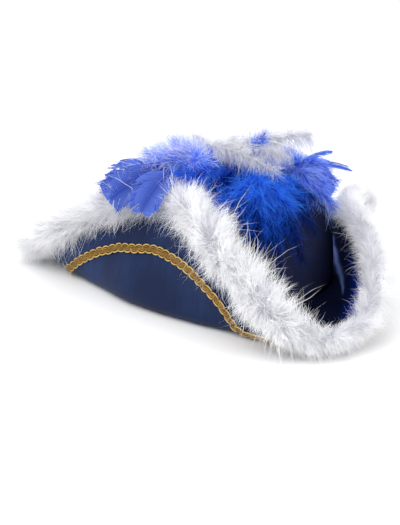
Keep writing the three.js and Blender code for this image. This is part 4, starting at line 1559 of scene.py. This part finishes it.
@dataclass
class FlatFeathers:
    """A fan of flat feathers: each a shaft with a smooth vane that splits here and there and frays.

    Attributes:
        name: The fan's name.
        root: Its root as a turn, a share of half the head's length and a share of the crown's rise.
        strands: Its feathers.
        bow: Height of a strand's bow of one.
        vane: Width of a vane for a strand's width of one.
        rows: Rows of points along a vane.
        loose: Loose barbs on each side of a vane.
        camber: How far a vane curls down at its edges, as a share of half its width.
        seed: Seed of the splits and the loose barbs.
    """

    form: HatForm
    name: str
    root: tuple[float, float, float]
    strands: tuple[Strand, ...]
    bow: float = 17.0
    vane: float = 20.0
    rows: int = 72
    loose: int = 44
    camber: float = 0.14
    seed: int = 3

    def half_vane(
        self, line: Array, side: Array, lift: Array, half: float, hand: float, rng: np.random.Generator
    ) -> tuple[Array, Array, Array, Array]:
        """One side of a vane as a sheet whose rows follow the barbs.

        Args:
            line: Points along the shaft.
            side: The vane's direction across the shaft at each.
            lift: The direction out of the vane's upper face at each.
            half: Half the vane's greatest width.
            hand: -1 or 1 for the side.
            rng: The feather's random numbers.

        Returns:
            The points by row and column, the quads, and each row's outer point and its direction.
        """
        along = unit(np.gradient(line, axis=0))
        length = float(np.linalg.norm(np.diff(line, axis=0), axis=1).sum())
        s = np.linspace(0.04, 1.0, self.rows)
        at = s * (len(line) - 1)
        i = np.clip(at.astype(int), 0, len(line) - 2)
        f = (at - i)[:, None]
        here = line[i] * (1 - f) + line[i + 1] * f
        outline = np.interp(s, [0.04, 0.18, 0.42, 0.7, 0.9, 1.0], [0.3, 0.75, 1.0, 0.95, 0.55, 0.04])
        split = np.cumsum(rng.random(self.rows) < 0.05)
        stray = rng.normal(0, 1, split.max() + 1)[split]
        width = outline * half * (1 + 0.015 * rng.normal(size=self.rows) + 0.05 * stray)
        ahead = np.minimum((1.0 + 0.5 * s + 0.07 * stray) * width, (1.03 - s) * length + 0.5)
        across = np.array([0.0, 0.25, 0.5, 0.75, 1.0])
        bend = (-self.camber * width + 0.05 * half * stray)[:, None] * across**2
        points = (
            here[:, None]
            + hand * side[i][:, None] * (width[:, None] * across)[..., None]
            + along[i][:, None] * (ahead[:, None] * across**1.2)[..., None]
            + lift[i][:, None] * bend[..., None]
        )
        quads = grid_faces(self.rows, len(across)).reshape(self.rows - 1, len(across) - 1, 4)
        open_row = split[1:] != split[:-1]
        keep = np.ones(quads.shape[:2], bool)
        keep[open_row, 2:] = False
        quads = quads[keep]
        if hand < 0:
            quads = quads[:, ::-1]
        return points, quads, points[:, -2], unit(points[:, -1] - points[:, 1])

    def build(self, tree: Tree, vane: Material, quill: Material) -> Thing:
        """Lays the vanes along each shaft and frays their edges.

        Args:
            tree: The tree that sets one shape on each point.
            vane: The barbs' finish.
            quill: The shafts' finish.

        Returns:
            The fan.
        """
        rng = np.random.default_rng(self.seed)
        root = self.form.spot(*self.root)
        vanes, shafts, loose = Gathered(), Gathered(), Gathered()
        no_faces = np.zeros((0, 4), int)
        for strand in self.strands:
            line = strand_line(self.form, root, strand, self.bow, 60)
            along = unit(np.gradient(line, axis=0))
            flat = unit(np.cross(along, UP))
            roll = math.radians(strand.roll)
            side = flat * math.cos(roll) + np.cross(flat, along) * math.sin(roll)
            lift = np.cross(side, along)
            shafts.add(*tube(line + lift * 0.3, np.linspace(0.5, 0.14, len(line)), 6))
            half = strand.width * self.vane / 2
            tone = rng.uniform(0.0, 0.8)
            for hand in (-1.0, 1.0):
                points, faces, edge, ahead = self.half_vane(line, side, lift, half, hand, rng)
                rows, columns = points.shape[:2]
                barb = np.repeat(np.arange(rows) * 1.3 + rng.uniform(0, 90), columns)
                vanes.add(points, faces, tip=np.tile(np.linspace(0, 1, columns), rows), barb=barb, shade=tone)
                pick = np.sort(rng.integers(3, rows - 1, self.loose))
                near = np.linalg.norm(points[pick, -1] - edge[pick], axis=1)
                comb = unit(ahead[pick] + 0.12 * rng.normal(size=(self.loose, 3)))
                reach = near * rng.uniform(1.0, 1.6, self.loose) + 0.8
                facing = lift[(pick * (len(line) - 1)) // rows]
                loose.add(edge[pick], no_faces, comb=comb, face=facing, reach=reach)
        guide = loose.build(f"barb_points_{self.name}")
        fan = run_tree(guide, tree, {"Size": mm(1.0), "Seed": self.seed, "Finish": vane}, self.name)
        sheet = vanes.build(f"vanes_{self.name}", [vane])
        return join_meshes(self.name, [sheet, fan, shafts.build(f"shafts_{self.name}", [quill])])


RIGHT_FEATHERS = (
    Strand(94, 1.37, 0.93, 0.7, 0.32, 20), Strand(89, 1.36, 0.88, 0.8, 0.36, 30),
    Strand(97, 1.27, 0.99, 0.6, 0.8, 15), Strand(101, 1.26, 1.02, 0.5, 0.3, 10),
    Strand(78, 1.36, 0.89, 1.3, 2.2, 25), Strand(99, 1.12, 1.1, 0.5, 0.7, 10),
    Strand(59, 1.36, 0.88, 1.6, 1.5, 15)
)
RIGHT_DOWN = (
    Strand(87, 0.67, 1.3, 0.2, 0.8), Strand(73, 0.61, 1.29, 0.2, 0.8), Strand(88, 0.92, 1.19, 0.4, 1.0),
    Strand(84, 1.1, 1.07, 0.6, 1.0), Strand(55, 0.75, 1.2, 0.5, 1.0), Strand(110, 0.85, 1.1, 0.6, 1.1)
)
FRONT_PLUME = (
    Strand(2, 1.13, 0.3, 1.6, 0.9), Strand(351, 1.12, 0.46, 1.7, 0.85), Strand(14, 1.16, 0.52, 1.8, 1.0),
    Strand(337, 1.0, 0.6, 1.6, 0.75), Strand(26, 1.04, 0.7, 1.4, 1.1), Strand(330, 0.96, 0.8, 1.1, 0.6)
)
LEFT_FEATHERS = (
    Strand(312, 1.08, 1.07, 0.6, 0.4, -10), Strand(306, 0.86, 1.2, 0.4, 0.45, -15),
    Strand(323, 0.9, 0.84, 1.2, 1.3, -30), Strand(317, 0.88, 0.94, 1.0, 1.0, -25),
    Strand(296, 0.86, 1.04, 0.7, 0.6, -15)
)
LEFT_FLUFF = (
    Strand(318, 0.86, 1.1, 0.5, 0.9), Strand(330, 0.9, 0.9, 0.8, 1.0), Strand(314, 0.95, 0.98, 0.7, 0.9),
    Strand(324, 0.98, 0.78, 1.1, 1.1), Strand(310, 1.02, 1.1, 0.6, 0.5)
)
TOP_TUFT = (Strand(346, 0.38, 1.38, 0.3, 1.2), Strand(356, 0.36, 1.34, 0.3, 1.1))
SIDE_TUFT = (
    Strand(77, 0.8, 0.98, 0.4, 1.0), Strand(61, 0.98, 1.04, 0.4, 1.1), Strand(50, 0.95, 1.08, 0.4, 0.9)
)
WHITE_PLUME = (
    Strand(308, 0.66, 1.35, 0, 1.2), Strand(352, 0.68, 1.09, 0.6, 0.75), Strand(335, 0.62, 1.2, 0.5, 0.7),
    Strand(100, 0.45, 1.3, 0.2, 0.6)
)


@dataclass
class Plumage:
    """The heap of blue down, the groups of feathers beside it and the white feather across the top."""

    form: HatForm
    trees: TreeBuilder

    def locks(
        self, name: str, root: tuple[float, float, float], strands: tuple[Strand, ...],
        finishes: tuple[Down, Quill], **sizes: object
    ) -> Thing:
        """One group of long locks.

        Args:
            name: The group's name.
            root: Its root as LongDown has it.
            strands: Its locks.
            finishes: The fluff's and the shafts' finish.
            sizes: Its other sizes, by their names in LongDown.

        Returns:
            The group.
        """
        group = LongDown(self.form, self.trees, name, root, strands, **sizes)
        return group.build(*(finish.material() for finish in finishes))

    def fan(self, fan: FlatFeathers, vane: Vane) -> Thing:
        """One fan of flat feathers with its shafts."""
        return fan.build(self.trees.made["vane_barbs"], vane.material(), VANE_QUILL.material())

    def heap(self) -> Thing:
        """The heap of down with the small blue feather that stands out of its top and a tuft at its side."""
        royal = (ROYAL_DOWN, BLUE_QUILL)
        heap = CrownDown(self.form, self.trees).build(ROYAL_DOWN.material())
        top = {"bow": 5.0, "barb": 9.0, "density": 9.0, "end": 0.7, "seed": 31}
        side = {"bow": 8.0, "barb": 15.0, "density": 7.0, "end": 0.7, "seed": 23}
        tuft = self.locks("top_tuft", (10, 0.42, 1.2), TOP_TUFT, royal, **top)
        loose = self.locks("side_tuft", (44, 0.5, 1.12), SIDE_TUFT, royal, **side)
        return stand_in(join_meshes("blue_down_heap", [heap, tuft, loose]), "down_crown")

    def right_feathers(self) -> Thing:
        """The flat feathers over the wearer's right."""
        fan = FlatFeathers(self.form, "flat_feathers_right", (66, 0.72, 1.03), RIGHT_FEATHERS)
        return stand_in(self.fan(fan, BLUE_VANE), "feathers_right")

    def right_down(self) -> Thing:
        """The pale down above them."""
        sizes = {"barb": 22.0, "density": 5.4, "end": 0.7, "lock": 8.0}
        pale = (PALE_DOWN, PALE_QUILL)
        made = self.locks("pale_down_right", (62, 0.5, 1.12), RIGHT_DOWN, pale, **sizes)
        return stand_in(made, "down_right")

    def front_plume(self) -> Thing:
        """The drooping plume over the front of the crown, lighter a third of the way along, and darker to its
        tip as painted shade where it hangs into the front trough.
        """
        sizes = {"barb": 17.0, "density": 7.0, "droop": 6.0, "tints": (0.0, 0.25, -0.35, -0.95), "lock": 7.0}
        deep = (DEEP_DOWN, BLUE_QUILL)
        made = self.locks("front_plume", (4, 0.62, 1.06), FRONT_PLUME, deep, **sizes)
        return stand_in(made, "plume_front")

    def left_feathers(self) -> Thing:
        """The flat feathers and loose down over the wearer's left."""
        fan = FlatFeathers(self.form, "flat_feathers_left", (322, 0.55, 1.06), LEFT_FEATHERS, seed=8)
        sizes = {"barb": 16.0, "density": 8.5, "droop": 6.0, "end": 0.6, "lock": 7.0, "seed": 12}
        bright = (BRIGHT_DOWN, BLUE_QUILL)
        made = self.fan(fan, BRIGHT_VANE)
        fluff = self.locks("left_fluff", (322, 0.5, 1.06), LEFT_FLUFF, bright, **sizes)
        return stand_in(join_meshes("flat_feathers_left", [made, fluff]), "feathers_left")

    def white_plume(self) -> Thing:
        """The white marabou feather across the top."""
        tints = (0.0, 0.0, -0.2, -0.45)
        sizes = {"barb": 16.0, "density": 11.0, "droop": 6.0, "forward": 0.45, "tints": tints, "end": 0.85}
        white = (WHITE_DOWN, WHITE_QUILL)
        made = self.locks("white_plume", (60, 0.4, 1.26), WHITE_PLUME, white, **sizes)
        return stand_in(made, "feather_white")


# Studio


@dataclass
class Studio:
    """The plain floor, the soft light and the camera at the photograph's angle.

    Attributes:
        azimuth: The camera's degrees round from the front.
        elevation: The camera's degrees above the floor.
        distance: The camera's distance from the crown's foot.
        focal_px: Focal length in pixels of the photograph.
        width_px: The photograph's width.
        height_px: The photograph's height.
        axis_px: Where the crown's foot falls in it.
        lamp_distance: Distance of the lamps from the middle of the floor, in metres.
    """

    form: HatForm
    azimuth: float = -20.0
    elevation: float = 20.0
    distance: float = 1300.0
    focal_px: float = 1365.0
    width_px: int = 400
    height_px: int = 525
    axis_px: tuple[float, float] = (240.0, 271.0)
    lamp_distance: float = 1.8

    def floor(self) -> None:
        """A pale matt floor and a white surround."""
        size = 4.0
        points = np.array([(-size, -size, 0), (size, -size, 0), (size, size, 0), (-size, size, 0)], float)
        mesh_object("floor", points, [(0, 1, 2, 3)], [FloorPaint("pale_floor").material()])
        world = bpy.data.worlds.new("white_surround")
        world.use_nodes = True
        background = next(n for n in world.node_tree.nodes if n.type == "BACKGROUND")
        background.inputs["Color"].default_value = (1, 1, 1, 1)
        background.inputs["Strength"].default_value = 1.0
        bpy.context.scene.world = world

    @staticmethod
    def towards(azimuth: float, elevation: float) -> Vector:
        """The direction from the hat, by degrees round from the front and above the floor."""
        a, e = math.radians(azimuth), math.radians(elevation)
        return Vector((math.sin(a) * math.cos(e), -math.cos(a) * math.cos(e), math.sin(e)))

    @staticmethod
    def stand(name: str, data: bpy.types.ID, eye: Vector, back: Vector) -> Thing:
        """Sets up a lamp or a camera.

        Args:
            name: Its name.
            data: The lamp's or the camera's settings.
            eye: Where it stands.
            back: The direction away from what it looks at.

        Returns:
            The object.
        """
        made = linked(bpy.data.objects.new(name, data))
        made.matrix_world = Matrix.Translation(eye) @ back.to_track_quat("Z", "Y").to_matrix().to_4x4()
        return made

    def light(self, name: str, azimuth: float, elevation: float, watts: float, size: float) -> None:
        """One soft area light that looks at the hat.

        Args:
            name: The light's name.
            azimuth: Degrees round from the front.
            elevation: Degrees above the floor.
            watts: Its power.
            size: Its width in metres.
        """
        data = bpy.data.lights.new(name, "AREA")
        data.energy = watts
        data.size = size
        back = self.towards(azimuth, elevation)
        self.stand(name, data, back * self.lamp_distance, back)

    def camera(self) -> None:
        """The camera, aimed so that the crown's axis falls where the photograph has it."""
        back = self.towards(self.azimuth, self.elevation)
        right = self.towards(self.azimuth + 90, 0)
        up = back.cross(right)
        foot = Vector(mm(self.form.axis))
        eye = foot + back * mm(self.distance)
        scale = mm(self.distance) / self.focal_px
        x, y = self.axis_px
        target = foot - right * (x - self.width_px / 2) * scale + up * (y - self.height_px / 2) * scale
        data = bpy.data.cameras.new("photo_camera")
        data.sensor_width = 36.0
        data.lens = self.focal_px * 36.0 / self.height_px
        data.clip_end = 50.0
        bpy.context.scene.camera = self.stand("photo_camera", data, eye, eye - target)

    def build(self) -> None:
        """Sets up the floor, the lights and the camera."""
        self.floor()
        self.light("key", -55, 50, 14, 1.4)
        self.light("fill", 50, 35, 7, 1.6)
        self.light("rim", 170, 55, 8, 1.2)
        self.camera()
        bpy.context.scene.view_settings.view_transform = "Standard"


def triangles(made: Thing) -> int:
    """How many triangles an object's mesh has."""
    return sum(len(p.vertices) - 2 for p in made.data.polygons)


def main() -> None:
    """Builds the hat's pieces in order and reports each one."""
    logging.basicConfig(level=logging.INFO, format="%(name)s: %(message)s")
    form = HatForm()
    trees = TreeBuilder()
    fluff = BarbSet(BarbKind.FLUFF, 0.02, 0.42).build()
    curl = BarbSet(BarbKind.CURL, 0.034, 0.4).build()
    blade = BarbSet(BarbKind.BLADE, 0.045, 0.08, 4).build()
    trees.down("down_fluff", fluff)
    trees.down("down_curl", curl)
    trees.placed("vane_barbs", blade)
    loops = GimpBraid(form, PANELS[0], trees).loops()
    trees.placed("gimp_loops", loops)

    makers: list[Callable[[], Thing]] = [Brim(form).build, Crown(form).build]
    for panel in PANELS:
        makers += [GimpBraid(form, panel, trees).build, MarabouTrim(form, panel, trees).build]
    plumage = Plumage(form, trees)
    makers += [plumage.heap, plumage.right_feathers, plumage.right_down]
    makers += [plumage.front_plume, plumage.left_feathers, plumage.white_plume]
    total = 0
    for make in makers:
        piece = make()
        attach(piece, "root")
        count = triangles(piece)
        total += count
        log.info("%s: %d triangles", piece.name, count)
    for shape in (*fluff, *curl, *blade, *loops):
        bpy.data.objects.remove(shape)
    log.info("all pieces: %d triangles", total)
    Studio(form).build()


if __name__ == "__main__":
    main()
